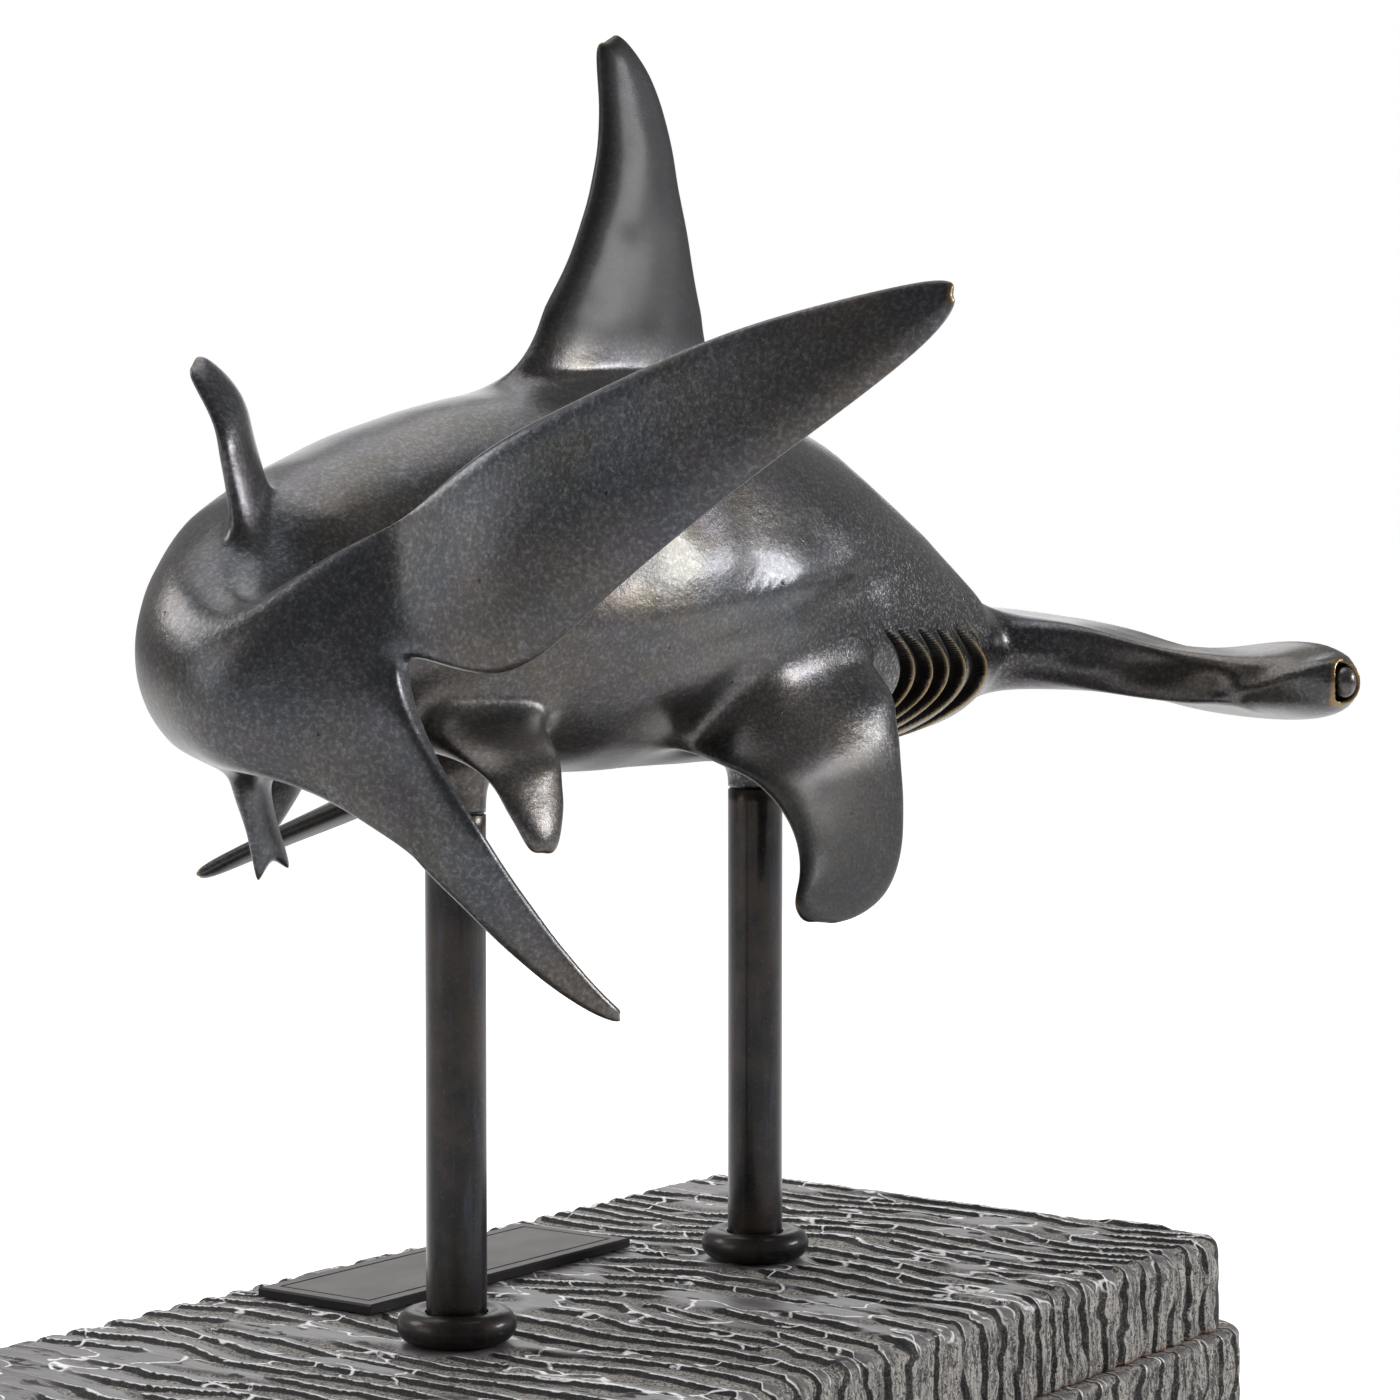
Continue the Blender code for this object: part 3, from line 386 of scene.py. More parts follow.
@dataclass(frozen=True)
class StoneFinish:
    """Grey-brown cast stone: polished flat crests over granular pockets with black steep sides."""

    polished: Colour = (0.100, 0.093, 0.096)
    polished_pale: Colour = (0.150, 0.141, 0.145)
    pocket: Colour = (0.285, 0.262, 0.232)
    pocket_dark: Colour = (0.120, 0.110, 0.100)
    grain: Colour = (0.60, 0.57, 0.52)
    black: Colour = (0.010, 0.009, 0.009)
    # near-white for the crest edges and the veins: partly the stone's pale colour, partly painted highlight
    edge: Colour = (0.88, 0.86, 0.87)
    wall_dark: Colour = (0.060, 0.057, 0.058)
    wall_pale: Colour = (0.46, 0.43, 0.40)
    sparkle: Colour = (0.85, 0.83, 0.81)
    glue: Colour = (0.42, 0.22, 0.16)
    seam: float = 0.0

    def material(self) -> bpy.types.Material:
        """Build the material.

        A ridge is read as a fraction from one groove to the next: a steep side up to 0.11, a flat
        crest whose width the mesh gives, and a pocket that runs on to the next groove.

        Returns:
            The stone.
        """
        g = Graph.of_material("carved stone")
        point = g.place()
        cosine, sine, strength = g.parts(g.attribute("ridge", "Vector"))
        wall = g.attribute("wall")
        ragged = g.noise(point, 420.0, 4.0, 0.7)
        place = (sine.maths("ARCTAN2", cosine) / TURN + 1.0 + 0.10 * (ragged - 0.5)).maths("FRACT")
        grain = g.noise(point, 1900.0, 3.0, 0.75)
        speck = g.noise(point, 950.0, 4.0, 0.75)
        cloud = g.noise(point, 70.0, 4.0, 0.6)
        along = g.noise(g.stretched(point, (1.0, 0.25, 1.0)), 300.0, 4.0, 0.6, 0.5)
        down = g.noise(g.stretched(point, (1.0, 1.0, 0.16)), 620.0, 4.0, 0.7, 0.8)
        steep = (place.between(0.125, 0.095) + place.between(0.93, 0.98)).maths("MINIMUM", 1.0)
        crest = place.between(0.105, 0.125) * (place - g.attribute("flat")).between(0.15, 0.11)
        top = (1.0 - strength * (1.0 - crest)) * (1.0 - wall)
        pits = g.noise(g.stretched(point, (1.0, 0.38, 1.0)), 230.0, 4.0, 0.65).between(0.60, 0.635)
        pits = pits * top * (1.0 - 0.6 * crest)
        shine = g.blend(along.between(0.42, 0.62), self.polished, self.polished_pale)
        streak = g.layered(self.wall_dark, (down.between(0.40, 0.60), self.wall_pale),
                           (grain.between(0.58, 0.68) * 0.8, self.sparkle),
                           (speck.between(0.48, 0.41) * 0.85, self.black))
        dark = steep * strength.between(0.1, 0.5) * (0.55 + 0.9 * (1.0 - grain)) * (1.0 - 0.10 * wall)
        dark = (dark + pits).maths("MINIMUM", 1.0)
        # the crest line at the top of each steep side: partly the crest's pale edge, partly a painted
        # highlight
        line = abs(place - 0.13).between(0.040, 0.012) * strength * ragged.between(0.34, 0.5)
        wander = g.noise(g.stretched(point, (1.0, 0.5, 1.0)), 58.0, 3.0, 0.45)
        vein = abs(wander - 0.5).between(0.010, 0.003) * ragged.between(0.38, 0.5) * (1.0 - wall)
        line = (line * (1.0 - 0.75 * wall) + vein).maths("MINIMUM", 1.0)
        # a black band along one side of each vein, away from the polished top, painted as its shadow
        under = (wander - 0.5).between(0.004, 0.012) * (wander - 0.5).between(0.028, 0.016) * (1.0 - wall)
        x, y, z = g.parts(point)
        joint = abs(z - self.seam).between(0.0008, 0.0004) * (x - y).between(0.10, 0.16) * wall
        colour = g.layered(
            self.pocket, (cloud.between(0.40, 0.62), self.pocket_dark),
            (grain.between(0.48, 0.64) * 0.8, self.grain), (speck.between(0.50, 0.42) * 0.9, self.black),
            (top, shine), (wall * 0.9, streak), (dark, self.black), (under * (1.0 - top) * 0.9, self.black),
            (line, self.edge), (joint * ragged.between(0.42, 0.55) * 0.8, self.glue))
        shiny = (top * (1.0 - pits) + line).maths("MINIMUM", 1.0)
        relief = g.bump((grain * 0.5 + speck * 0.5) * (1.0 - 0.92 * shiny), 0.65, 0.0007)
        relief = g.bump(1.0 - pits, 0.5, 0.0006, relief)
        relief = g.bump(along * top, 0.12, 0.0006, relief)
        return g.finish(Base_Color=colour, Roughness=0.78 - 0.42 * shiny, Normal=relief,
                        Coat_Weight=0.25 * line, Coat_Roughness=0.15)


@dataclass(frozen=True)
class SteelFinish:
    """Bright zinc on the nuts and washers."""

    bright: Colour = (0.56, 0.57, 0.58)
    dull_and_painted_shade: Colour = (0.38, 0.39, 0.40)

    def material(self) -> bpy.types.Material:
        """Build the material.

        Returns:
            The zinc finish.
        """
        g = Graph.of_material("zinc plate")
        point = g.place()
        spangle = g.cells(point, 900.0)
        cloud = g.noise(point, 300.0, 3.0)
        colour = g.blend((spangle * 0.6 + cloud * 0.5).between(0.3, 0.8), self.bright, self.dull_and_painted_shade)
        return g.finish(Base_Color=colour, Metallic=1.0, Roughness=0.28 + 0.2 * cloud,
                        Normal=g.bump(spangle, 0.1, 0.0002))


@dataclass(frozen=True)
class FeltFinish:
    """Black pressed felt."""

    fibre: Colour = (0.028, 0.027, 0.027)
    fluff: Colour = (0.060, 0.058, 0.057)

    def material(self) -> bpy.types.Material:
        """Build the material.

        Returns:
            The felt finish.
        """
        g = Graph.of_material("pressed felt")
        point = g.place()
        matted = g.noise(point, 1400.0, 5.0, 0.75, 1.5)
        patches = g.noise(point, 120.0, 3.0)
        colour = g.blend((matted * 0.8 + patches * 0.3).between(0.45, 0.75), self.fibre, self.fluff)
        return g.finish(Base_Color=colour, Roughness=0.95, Normal=g.bump(matted, 0.7, 0.0006))


def lattice_noise(x: np.ndarray, y: np.ndarray, seed: int) -> np.ndarray:
    """Smooth noise from -1 to 1 with cells one unit wide.

    Each lattice corner gets a fixed random value, and the values are mixed over the cell with an
    S-shaped share along each axis.

    Args:
        x: places along, in cells.
        y: places across, in cells.
        seed: which noise.

    Returns:
        The values, in the arrays' shape.
    """
    size = 256
    values = np.random.default_rng(seed).uniform(-1.0, 1.0, (size, size))
    column, row = np.floor(x).astype(int), np.floor(y).astype(int)
    u, v = x - column, y - row
    u, v = u * u * (3 - 2 * u), v * v * (3 - 2 * v)
    a = values[column % size, row % size]
    b = values[(column + 1) % size, row % size]
    c = values[column % size, (row + 1) % size]
    d = values[(column + 1) % size, (row + 1) % size]
    return a * (1 - u) * (1 - v) + b * u * (1 - v) + c * (1 - u) * v + d * u * v


def smooth_step(value: np.ndarray, low: float, high: float) -> np.ndarray:
    """A smooth step from 0 at low to 1 at high."""
    share = np.clip((value - low) / (high - low), 0.0, 1.0)
    return share * share * (3 - 2 * share)


def bell(value: np.ndarray, middle: float, width: float) -> np.ndarray:
    """A bell curve of height 1, which falls to about a third at width from its middle."""
    return np.exp(-((value - middle) / width) ** 2)


def grid_quads(rows: int, columns: int, round_rows: bool = False,
               round_columns: bool = False) -> np.ndarray:
    """Four corners of each cell of a grid whose points are numbered row by row.

    Args:
        rows: rows of points.
        columns: points in a row.
        round_rows: whether the last row joins the first.
        round_columns: whether the last column joins the first.

    Returns:
        An array of four numbers a face.
    """
    i = np.arange(rows if round_rows else rows - 1)[:, None]
    j = np.arange(columns if round_columns else columns - 1)[None, :]
    here, there = i * columns, (i + 1) % rows * columns
    after = (j + 1) % columns
    return np.stack([here + j, here + after, there + after, there + j], -1).reshape(-1, 4)


def put(name: str, data: bpy.types.ID) -> bpy.types.Object:
    """Add an object with a mesh, a light or a camera to the scene, at the origin."""
    obj = bpy.data.objects.new(name, data)
    bpy.context.scene.collection.objects.link(obj)
    return obj


def box_mm(node: str) -> tuple[np.ndarray, np.ndarray]:
    """The low and high corners of a CAD node's box, in millimetres."""
    low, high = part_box(node)
    return np.array(low) / MM, np.array(high) / MM


def make_piece(name: str, points: np.ndarray, faces: list, material: bpy.types.Material,
               values: dict[str, np.ndarray]) -> bpy.types.Object:
    """Put a mesh into the scene, with its faces turned outwards.

    Args:
        name: the piece's name.
        points: millimetres, one row a point.
        faces: lists of corner numbers.
        material: its finish.
        values: numbers or vectors kept at each point, by attribute name.

    Returns:
        The object, which sits at the origin.
    """
    mesh = bpy.data.meshes.new(name)
    mesh.from_pydata((points * MM).tolist(), [], faces)
    for label, data in values.items():
        kind = "FLOAT_VECTOR" if data.ndim == 2 else "FLOAT"
        store = mesh.attributes.new(label, kind, "POINT")
        store.data.foreach_set("vector" if data.ndim == 2 else "value", data.astype(np.float32).ravel())
    bm = bmesh.new()
    bm.from_mesh(mesh)
    bmesh.ops.recalc_face_normals(bm, faces=bm.faces)
    bm.to_mesh(mesh)
    bm.free()
    mesh.shade_smooth()
    mesh.materials.append(material)
    return put(name, mesh)


def stand_for(piece: bpy.types.Object, node: str) -> None:
    """Let a piece ride on the body and stand for a CAD node.

    Args:
        piece: the finished piece.
        node: the CAD node that it replaces.
    """
    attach(piece, BODY)
    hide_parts(node)
    LOG.info("%s: %d faces, stands for %s", piece.name, len(piece.data.polygons), node)


def mesh_arrays(mesh: bpy.types.Mesh) -> tuple[np.ndarray, np.ndarray, np.ndarray]:
    """Points and normals in millimetres, and edges.

    Args:
        mesh: a mesh in metres.

    Returns:
        Points, normals and pairs of point numbers.
    """
    points = np.empty(len(mesh.vertices) * 3)
    mesh.vertices.foreach_get("co", points)
    normals = np.empty(len(mesh.vertices) * 3)
    mesh.vertex_normals.foreach_get("vector", normals)
    edges = np.empty(len(mesh.edges) * 2, int)
    mesh.edges.foreach_get("vertices", edges)
    return points.reshape(-1, 3) / MM, normals.reshape(-1, 3), edges.reshape(-1, 2)


def neighbour_mean(data: np.ndarray, edges: np.ndarray) -> np.ndarray:
    """The mean of each point's neighbours.

    Args:
        data: one row or number a point.
        edges: pairs of point numbers.

    Returns:
        The means, in data's shape.
    """
    total = np.zeros_like(data)
    np.add.at(total, edges[:, 0], data[edges[:, 1]])
    np.add.at(total, edges[:, 1], data[edges[:, 0]])
    count = np.bincount(edges.ravel(), minlength=len(data))
    return total / count.reshape(-1, *([1] * (data.ndim - 1)))


def sharpness(points: np.ndarray, normals: np.ndarray, edges: np.ndarray, rounds: int = 2) -> np.ndarray:
    """How strongly the surface bends outwards, in one over millimetres.

    A point's height over the mean of its neighbours is divided by the squared edge length there.

    Args:
        points: places.
        normals: outward directions.
        edges: pairs of point numbers.
        rounds: how often the result is smoothed.

    Returns:
        One number a point, positive on outward edges.
    """
    length = np.linalg.norm(points[edges[:, 0]] - points[edges[:, 1]], axis=1)
    square = np.zeros(len(points))
    np.add.at(square, edges[:, 0], length ** 2)
    np.add.at(square, edges[:, 1], length ** 2)
    square /= np.bincount(edges.ravel(), minlength=len(points))
    bend = ((points - neighbour_mean(points, edges)) * normals).sum(1) / np.maximum(square, 1e-6)
    for _ in range(rounds):
        bend = 0.5 * bend + 0.5 * neighbour_mean(bend, edges)
    return bend


@dataclass(frozen=True)
class FinShape:
    """A fin that grows out of an opening in the trunk.

    Each station has its front edge, its rear edge and its half thickness. The opening runs over
    some rows of one column of the trunk. The middle of the tip is cut back by the notch.
    """

    stations: tuple
    rows: tuple[int, int] = (0, 0)
    column: int = 0
    notch: float = 0.0

    def mirrored(self, columns: int) -> FinShape:
        """The same fin on the other side."""
        stations = tuple(((fx, -fy, fz), (rx, -ry, rz), thick)
                         for (fx, fy, fz), (rx, ry, rz), thick in self.stations)
        return FinShape(stations, self.rows, columns - 2 - self.column, self.notch)

    def sections(self, count: int) -> np.ndarray:
        """Lens-shaped loops from the root to the tip.

        A loop runs from the rear edge along one face to the front edge and back along the other.
        Its faces stand half a thickness off the chord, fuller near the middle.

        Args:
            count: points along one face.

        Returns:
            An array of stations by twice count by three.
        """
        front, rear, thick = (np.array(column) for column in zip(*self.stations))
        thick = thick[:, None, None]
        notch = np.zeros_like(thick)
        notch[-1] = self.notch
        outward = np.gradient(front + rear, axis=0)
        chord = front - rear
        normal = np.cross(chord, outward)
        normal /= np.linalg.norm(normal, axis=1, keepdims=True)
        inward = -outward / np.linalg.norm(outward, axis=1, keepdims=True)
        share = np.linspace(0.0, 1.0, count)
        bulge = 0.55 + 0.45 * np.sin(np.pi * np.minimum(1.0, share * 0.85 + 0.12))
        bulge[[0, -1]] = 0.5
        middle = (rear[:, None] + chord[:, None] * share[None, :, None]
                  + inward[:, None] * notch * np.sin(np.pi * share)[None, :, None])
        offset = normal[:, None] * thick * bulge[None, :, None]
        return np.concatenate([middle + offset, (middle - offset)[:, ::-1]], axis=1)


@dataclass
class SharkCasting:
    """The one-piece bronze animal with its gills, eyes and the two feet under its belly."""

    post_radius: float
    post_places: Pair
    foot_level: float
    columns: int = 16
    belly_from: int = 8
    cage_reach: float = 2.6
    smooth_levels: int = 3
    fine_cuts: int = 2

    # The feet: length, how far their rims stand out, how the flare and the rise bend, how far they
    # sink into the belly and reach up inside it.
    foot_length: float = 6.9
    foot_reach: float = 4.6
    foot_flare: float = 2.6
    foot_rise: float = 1.25
    foot_sink: float = 0.15
    foot_root: float = 4.0
    foot_rows: int = 16
    foot_sides: int = 64

    # Rounding of the fins' roots and of the fork of the tail.
    fillet: float = 11.0
    fillet_core: float = 0.45
    fillet_rounds: int = 36
    fillet_share: float = 0.5
    fork_shares: Pair = (0.55, -0.50)
    fork_across: tuple = ((26.0, 38.0), (62.0, 80.0))
    fork_along: Pair = (92.0, 100.0)

    # The eyes, from the right wing's end: the socket and the ball in it.
    eye: Place = (145.4, 98.5, -24.2)
    eye_area: float = 10.0
    eye_middle: float = 2.0
    socket_reach: Pair = (3.6, 4.8)
    socket_depth: float = 3.4
    socket_wall: float = 0.74
    socket_end: float = 9.0
    rim_place: float = 1.08
    rim_width: float = 0.11
    rim_lift: float = 0.3
    ball_reach: Place = (2.8, 2.6, 3.5)
    ball_sink: float = 2.3
    ball_wear: float = 0.25
    ball_pole: float = 0.02
    ball_rows: int = 20
    ball_sides: int = 32

    # The area of the gills: middle, half its height, margin, stretch along, reach across, and how
    # far the surface has to face sideways.
    gill_middle: float = -24.5
    gill_half_span: float = 13.0
    gill_margin: float = 2.0
    gill_stretch: Pair = (54.0, 118.0)
    gill_across: float = 31.0
    gill_facing: float = 0.12
    gill_lip: float = 0.35
    lip_place: float = -0.45
    lip_width: float = 0.55
    gill_wall: Pair = (-0.1, 0.75)
    least_width: float = 0.3

    # Gills: a lip's place at its ends, how much further forward its middle lies, and the width
    # and depth of the crescent behind it.
    gills: tuple = ((60.0, 16.5, 6.6, 3.4), (65.5, 20.5, 8.0, 3.6), (76.0, 18.0, 7.4, 3.6),
                    (85.5, 17.5, 7.8, 3.4), (96.5, 17.0, 8.2, 3.2))

    # Soft forms on a wing's rear face: place out and up, reach out and up, and rise. The ridge runs
    # from its inner low end to its outer high end, with a groove over it.
    wing_forms: tuple = (((19.0, -18.5), (9.0, 2.6), 1.1), ((37.0, -22.0), (9.0, 2.4), 0.7),
                         ((28.0, -13.0), (13.0, 3.0), 0.9), ((50.0, -21.0), (9.0, 3.0), -1.0),
                         ((68.0, -26.5), (4.5, 3.4), -1.8), ((75.0, -26.0), (2.6, 4.2), 1.1))
    wing_ridge: tuple = ((74.0, -28.0), (96.0, -19.5), 2.0, 1.0)
    wing_groove: float = 0.7
    groove_place: float = 2.2

    # Fine raised line ahead of the last gill: its two ends, along and upright.
    neck_line: tuple = ((100.0, -8.6), (111.0, -16.8))
    neck_line_lift: float = 0.8

    # The fold over the flank: the area it lies in, its level, slope and lowest level, how it rises
    # and fades, and two creases by place, width and depth.
    flank_across: Pair = (16.0, 26.0)
    flank_rear: Pair = (-75.0, -40.0)
    flank_front: Pair = (-80.0, -45.0)
    fold_level: float = -7.6
    fold_slope: float = 0.16
    fold_lowest: float = -13.5
    fold_rise: Pair = (-2.0, 2.0)
    fold_fade: Pair = (1.0, 24.0)
    crease: tuple[float, float, float] = (-2.5, 2.6, 0.5)
    short_crease: tuple[float, float, float] = (-2.2, 1.8, 0.45)
    short_slope: float = 0.17
    short_ends: tuple = ((-26.0, -12.0), (12.0, 26.0))
    uneven: Pair = (0.35, 0.16)

    # Colour: the sharpness that is rubbed, the place on each flank where a warm tint is painted on the
    # highlight, and the levels between which the tall fin and the pectoral fins get painted shade and
    # turn rougher.
    rubbed: Pair = (0.07, 0.34)
    recess_depth: float = 1.1
    highlight_tint_place: Pair = (-30.0, -5.0)
    highlight_tint_reach: Pair = (24.0, 7.0)
    highlight_tint_across: Pair = (18.0, 25.0)
    highlight_tint_share: float = 0.36
    fin_shade_above: Pair = (42.0, 52.0)
    fin_shade_below: Pair = (33.0, 43.0)
    fin_shade_ahead: Pair = (-40.0, -10.0)
    pectoral_shade: float = 0.85

    # Trunk stations from the tail to the neck: along, across, turn towards its right in degrees,
    # top, bottom, half width, how far the widest place lies below the middle, and how far the
    # columns of the flank slide down round the ring, in degrees.
    trunk: tuple = (
        (-115.0, -40.5, 105.0, 9.5, -47.0, 3.0, 0.0, 0.0),
        (-120.0, -24.5, 103.0, 1.0, -38.0, 7.0, 0.0, 0.0),
        (-123.0, -13.0, 78.0, -6.0, -35.0, 11.0, 0.0, 0.0),
        (-115.0, -3.0, 52.0, 3.5, -35.5, 17.0, 0.0, 0.0),
        (-109.0, 1.5, 38.0, 9.5, -36.0, 20.0, 0.0, 0.0),
        (-101.0, 5.0, 24.0, 15.5, -36.5, 22.5, 0.0, 0.0),
        (-91.0, 7.5, 14.0, 19.5, -37.0, 25.0, 0.02, 0.0),
        (-80.0, 8.5, 7.0, 23.5, -37.5, 27.5, 0.04, 0.0),
        (-64.0, 8.0, 4.0, 29.0, -38.5, 30.0, 0.06, 0.0),
        (-48.0, 5.5, 3.0, 33.5, -39.0, 31.0, 0.08, 0.0),
        (-33.0, 3.0, 2.0, 37.5, -39.0, 31.5, 0.08, 6.0),
        (-17.0, 1.0, 1.0, 39.5, -39.5, 31.5, 0.08, 20.0),
        (0.0, 0.0, 0.0, 40.5, -39.5, 31.5, 0.08, 38.0),
        (17.0, 0.0, 0.0, 39.5, -39.5, 31.0, 0.10, 10.0),
        (32.0, 0.0, 0.0, 38.0, -39.5, 30.5, 0.12, 2.0),
        (44.0, 0.0, 0.0, 36.0, -39.5, 30.0, 0.14, 0.0),
        (56.0, 0.0, 0.0, 33.0, -39.0, 29.0, 0.14, 0.0),
        (67.0, 0.0, 0.0, 29.5, -39.0, 28.0, 0.12, 0.0),
        (76.0, 0.0, 0.0, 25.5, -38.8, 27.0, 0.10, 0.0),
        (84.0, 0.0, 0.0, 21.5, -38.6, 26.0, 0.08, 0.0),
        (92.0, 0.0, 0.0, 17.2, -38.2, 25.0, 0.06, 0.0),
        (100.0, 0.0, 0.0, 13.0, -37.6, 24.0, 0.05, 0.0),
        (108.0, 0.0, 0.0, 8.4, -36.6, 23.0, 0.04, 0.0),
        (117.0, 0.0, 0.0, 2.4, -34.6, 22.0, 0.02, 0.0),
        (127.0, 0.0, 0.0, -3.8, -30.5, 20.5, 0.0, 0.0),
    )

    # Head rows from the rear edge to the front edge: for the four columns out to one wing end,
    # place along, place across, top and bottom.
    head: tuple = (
        ((136.0, 135.5, 136.0, 137.0), (6.0, 16.0, 28.0, 38.0),
         (-8.0, -9.0, -11.5, -15.0), (-27.0, -27.0, -26.0, -26.0)),
        ((143.0, 142.5, 141.0, 138.5), (9.0, 27.0, 46.0, 62.0),
         (-8.2, -11.0, -15.5, -19.5), (-26.0, -27.0, -28.5, -30.0)),
        ((152.0, 151.0, 148.0, 137.0), (15.0, 42.0, 66.0, 88.0),
         (-8.8, -14.5, -18.0, -18.5), (-25.5, -27.5, -31.0, -30.0)),
        ((163.0, 161.0, 155.0, 144.0), (20.0, 47.0, 73.0, 98.5),
         (-9.6, -17.9, -15.6, -16.8), (-26.0, -31.2, -33.4, -31.6)),
        ((174.0, 171.0, 162.0, 151.0), (20.0, 47.0, 73.0, 98.0),
         (-10.5, -18.0, -15.8, -17.2), (-26.0, -31.0, -33.0, -31.4)),
        ((183.0, 180.5, 170.0, 157.0), (18.0, 44.0, 68.0, 91.0),
         (-15.0, -20.0, -20.0, -21.5), (-23.5, -27.5, -29.5, -28.0)),
    )
    first_dorsal: FinShape = FinShape((
        ((34.0, 0.0, 45.5), (-29.5, 0.0, 43.0), 4.7),
        ((28.0, 0.0, 55.0), (-20.5, 0.0, 54.0), 4.3),
        ((23.5, 0.0, 70.0), (-10.0, 0.0, 70.0), 3.9),
        ((19.0, 0.0, 88.0), (-4.0, 0.0, 86.5), 3.3),
        ((12.5, 0.0, 103.0), (-3.6, 0.0, 99.5), 2.3),
        ((3.0, 0.0, 111.0), (-4.6, 0.0, 107.5), 1.6)), (10, 14), 15)
    second_dorsal: FinShape = FinShape((
        ((-100.0, 7.0, 20.0), (-113.5, 0.0, 11.0), 2.8),
        ((-102.5, 7.0, 27.0), (-114.5, 1.0, 19.0), 2.2),
        ((-106.0, 7.0, 34.0), (-115.5, 2.5, 27.5), 1.7),
        ((-111.0, 10.0, 39.5), (-116.5, 7.5, 35.5), 1.3)), (3, 5), 15)
    anal: FinShape = FinShape((
        ((-98.5, 6.5, -41.0), (-112.0, 1.0, -40.0), 2.6),
        ((-96.0, 6.0, -48.5), (-107.5, 2.0, -47.5), 1.9),
        ((-91.5, 6.5, -56.5), (-103.8, 4.0, -58.5), 1.2)), (3, 5), 7, 5.5)
    pelvic: FinShape = FinShape((
        ((-57.0, 30.0, -33.5), (-79.0, 28.0, -35.5), 3.0),
        ((-59.0, 32.0, -38.5), (-76.5, 31.5, -40.5), 2.4),
        ((-62.0, 34.0, -45.0), (-74.3, 33.8, -45.5), 1.9),
        ((-65.5, 35.5, -50.8), (-72.0, 35.3, -50.5), 1.3)), (7, 9), 5)
    left_pectoral: FinShape = FinShape((
        ((55.0, 37.0, -24.0), (1.0, 28.0, -36.5), 4.6),
        ((46.0, 50.0, -31.5), (4.0, 44.0, -39.5), 3.9),
        ((30.0, 65.0, -41.5), (-3.0, 58.0, -46.0), 3.2),
        ((8.0, 78.0, -52.0), (-14.0, 71.0, -53.0), 2.6),
        ((-13.0, 86.0, -60.0), (-24.0, 82.0, -59.5), 1.9),
        ((-26.5, 90.5, -65.0), (-30.0, 89.0, -64.0), 1.3)), (12, 16), 4)
    right_pectoral: FinShape = FinShape((
        ((55.0, -34.0, -24.5), (-1.4, -27.0, -37.5), 4.8),
        ((50.5, -36.0, -33.0), (3.0, -34.0, -41.0), 4.1),
        ((48.8, -38.0, -41.0), (7.5, -37.3, -46.0), 3.6),
        ((48.0, -39.5, -50.0), (10.5, -39.3, -52.0), 3.2),
        ((45.8, -40.7, -57.0), (11.0, -40.5, -57.5), 2.8),
        ((41.2, -41.5, -63.8), (9.2, -41.5, -62.5), 2.4),
        ((32.5, -42.0, -69.3), (6.8, -42.0, -67.0), 2.0),
        ((21.0, -42.5, -71.6), (8.5, -42.5, -70.0), 1.5)), (12, 16), 10)
    upper_lobe: FinShape = FinShape((
        ((-111.0, -56.0, 20.5), (-111.5, -60.5, -19.0), 4.4),
        ((-107.0, -73.0, 28.0), (-107.5, -76.0, -5.0), 3.6),
        ((-101.5, -96.0, 38.0), (-103.0, -97.0, 11.5), 2.8),
        ((-96.0, -117.0, 44.0), (-97.5, -117.5, 26.0), 2.1),
        ((-91.0, -132.0, 47.5), (-91.5, -132.5, 38.0), 1.5),
        ((-89.3, -136.5, 47.5), (-89.5, -136.8, 43.5), 1.2)))
    lower_lobe: FinShape = FinShape((
        ((-110.0, -45.0, -53.0), (-110.0, -51.5, -42.0), 2.6),
        ((-103.0, -50.5, -62.0), (-103.5, -54.5, -52.0), 2.2),
        ((-94.0, -55.0, -71.0), (-94.5, -57.0, -63.0), 1.9),
        ((-84.5, -59.5, -78.0), (-85.0, -60.0, -73.5), 1.5),
        ((-80.0, -61.0, -79.8), (-80.3, -61.2, -77.5), 1.2)))

    @property
    def datum(self) -> float:
        """The level of the body's middle: the feet and the deepest belly stand under it."""
        deepest = max(-station[4] for station in self.trunk[self.belly_from:])
        return self.foot_level + self.foot_length + deepest

    def trunk_fins(self) -> tuple[FinShape, ...]:
        """The fins that grow out of openings in the trunk."""
        return (self.first_dorsal, self.second_dorsal, self.anal, self.pelvic,
                self.pelvic.mirrored(self.columns), self.left_pectoral, self.right_pectoral)

    def rings(self) -> np.ndarray:
        """Closed rings of the trunk and then of the head.

        A trunk ring is an oval whose upper and lower halves have their own heights, turned about
        the upright. A head ring runs out over one wing, back under it and round the other.

        Returns:
            An array of rings by columns by three.
        """
        along, across, turn, top, bottom, half, drop, slide = np.array(self.trunk).T[:, :, None]
        middle = (top + bottom) / 2 - drop * (top - bottom)
        even = 2 * np.pi * (np.arange(self.columns) + 0.5) / self.columns
        down = np.sin(even) * np.where(np.cos(even) > 0, np.abs(np.sin(even)), 1.0)
        angle = even + np.radians(slide) * down
        side = half * np.sin(angle)
        reach = np.where(np.cos(angle) > 0, top - middle, middle - bottom)
        rise = reach * np.cos(angle) / math.cos(math.pi / self.columns)
        turn = np.radians(turn)
        trunk = np.stack([along - side * np.sin(turn), across + side * np.cos(turn), middle + rise], -1)
        x, y, upper, lower = np.array(self.head).transpose(1, 0, 2)
        left = np.concatenate([np.stack([x, y, upper], -1), np.stack([x, y, lower], -1)[:, ::-1]], 1)
        right = left[:, ::-1] * np.array([1.0, -1.0, 1.0])
        return np.concatenate([trunk, np.concatenate([left, right], 1)])

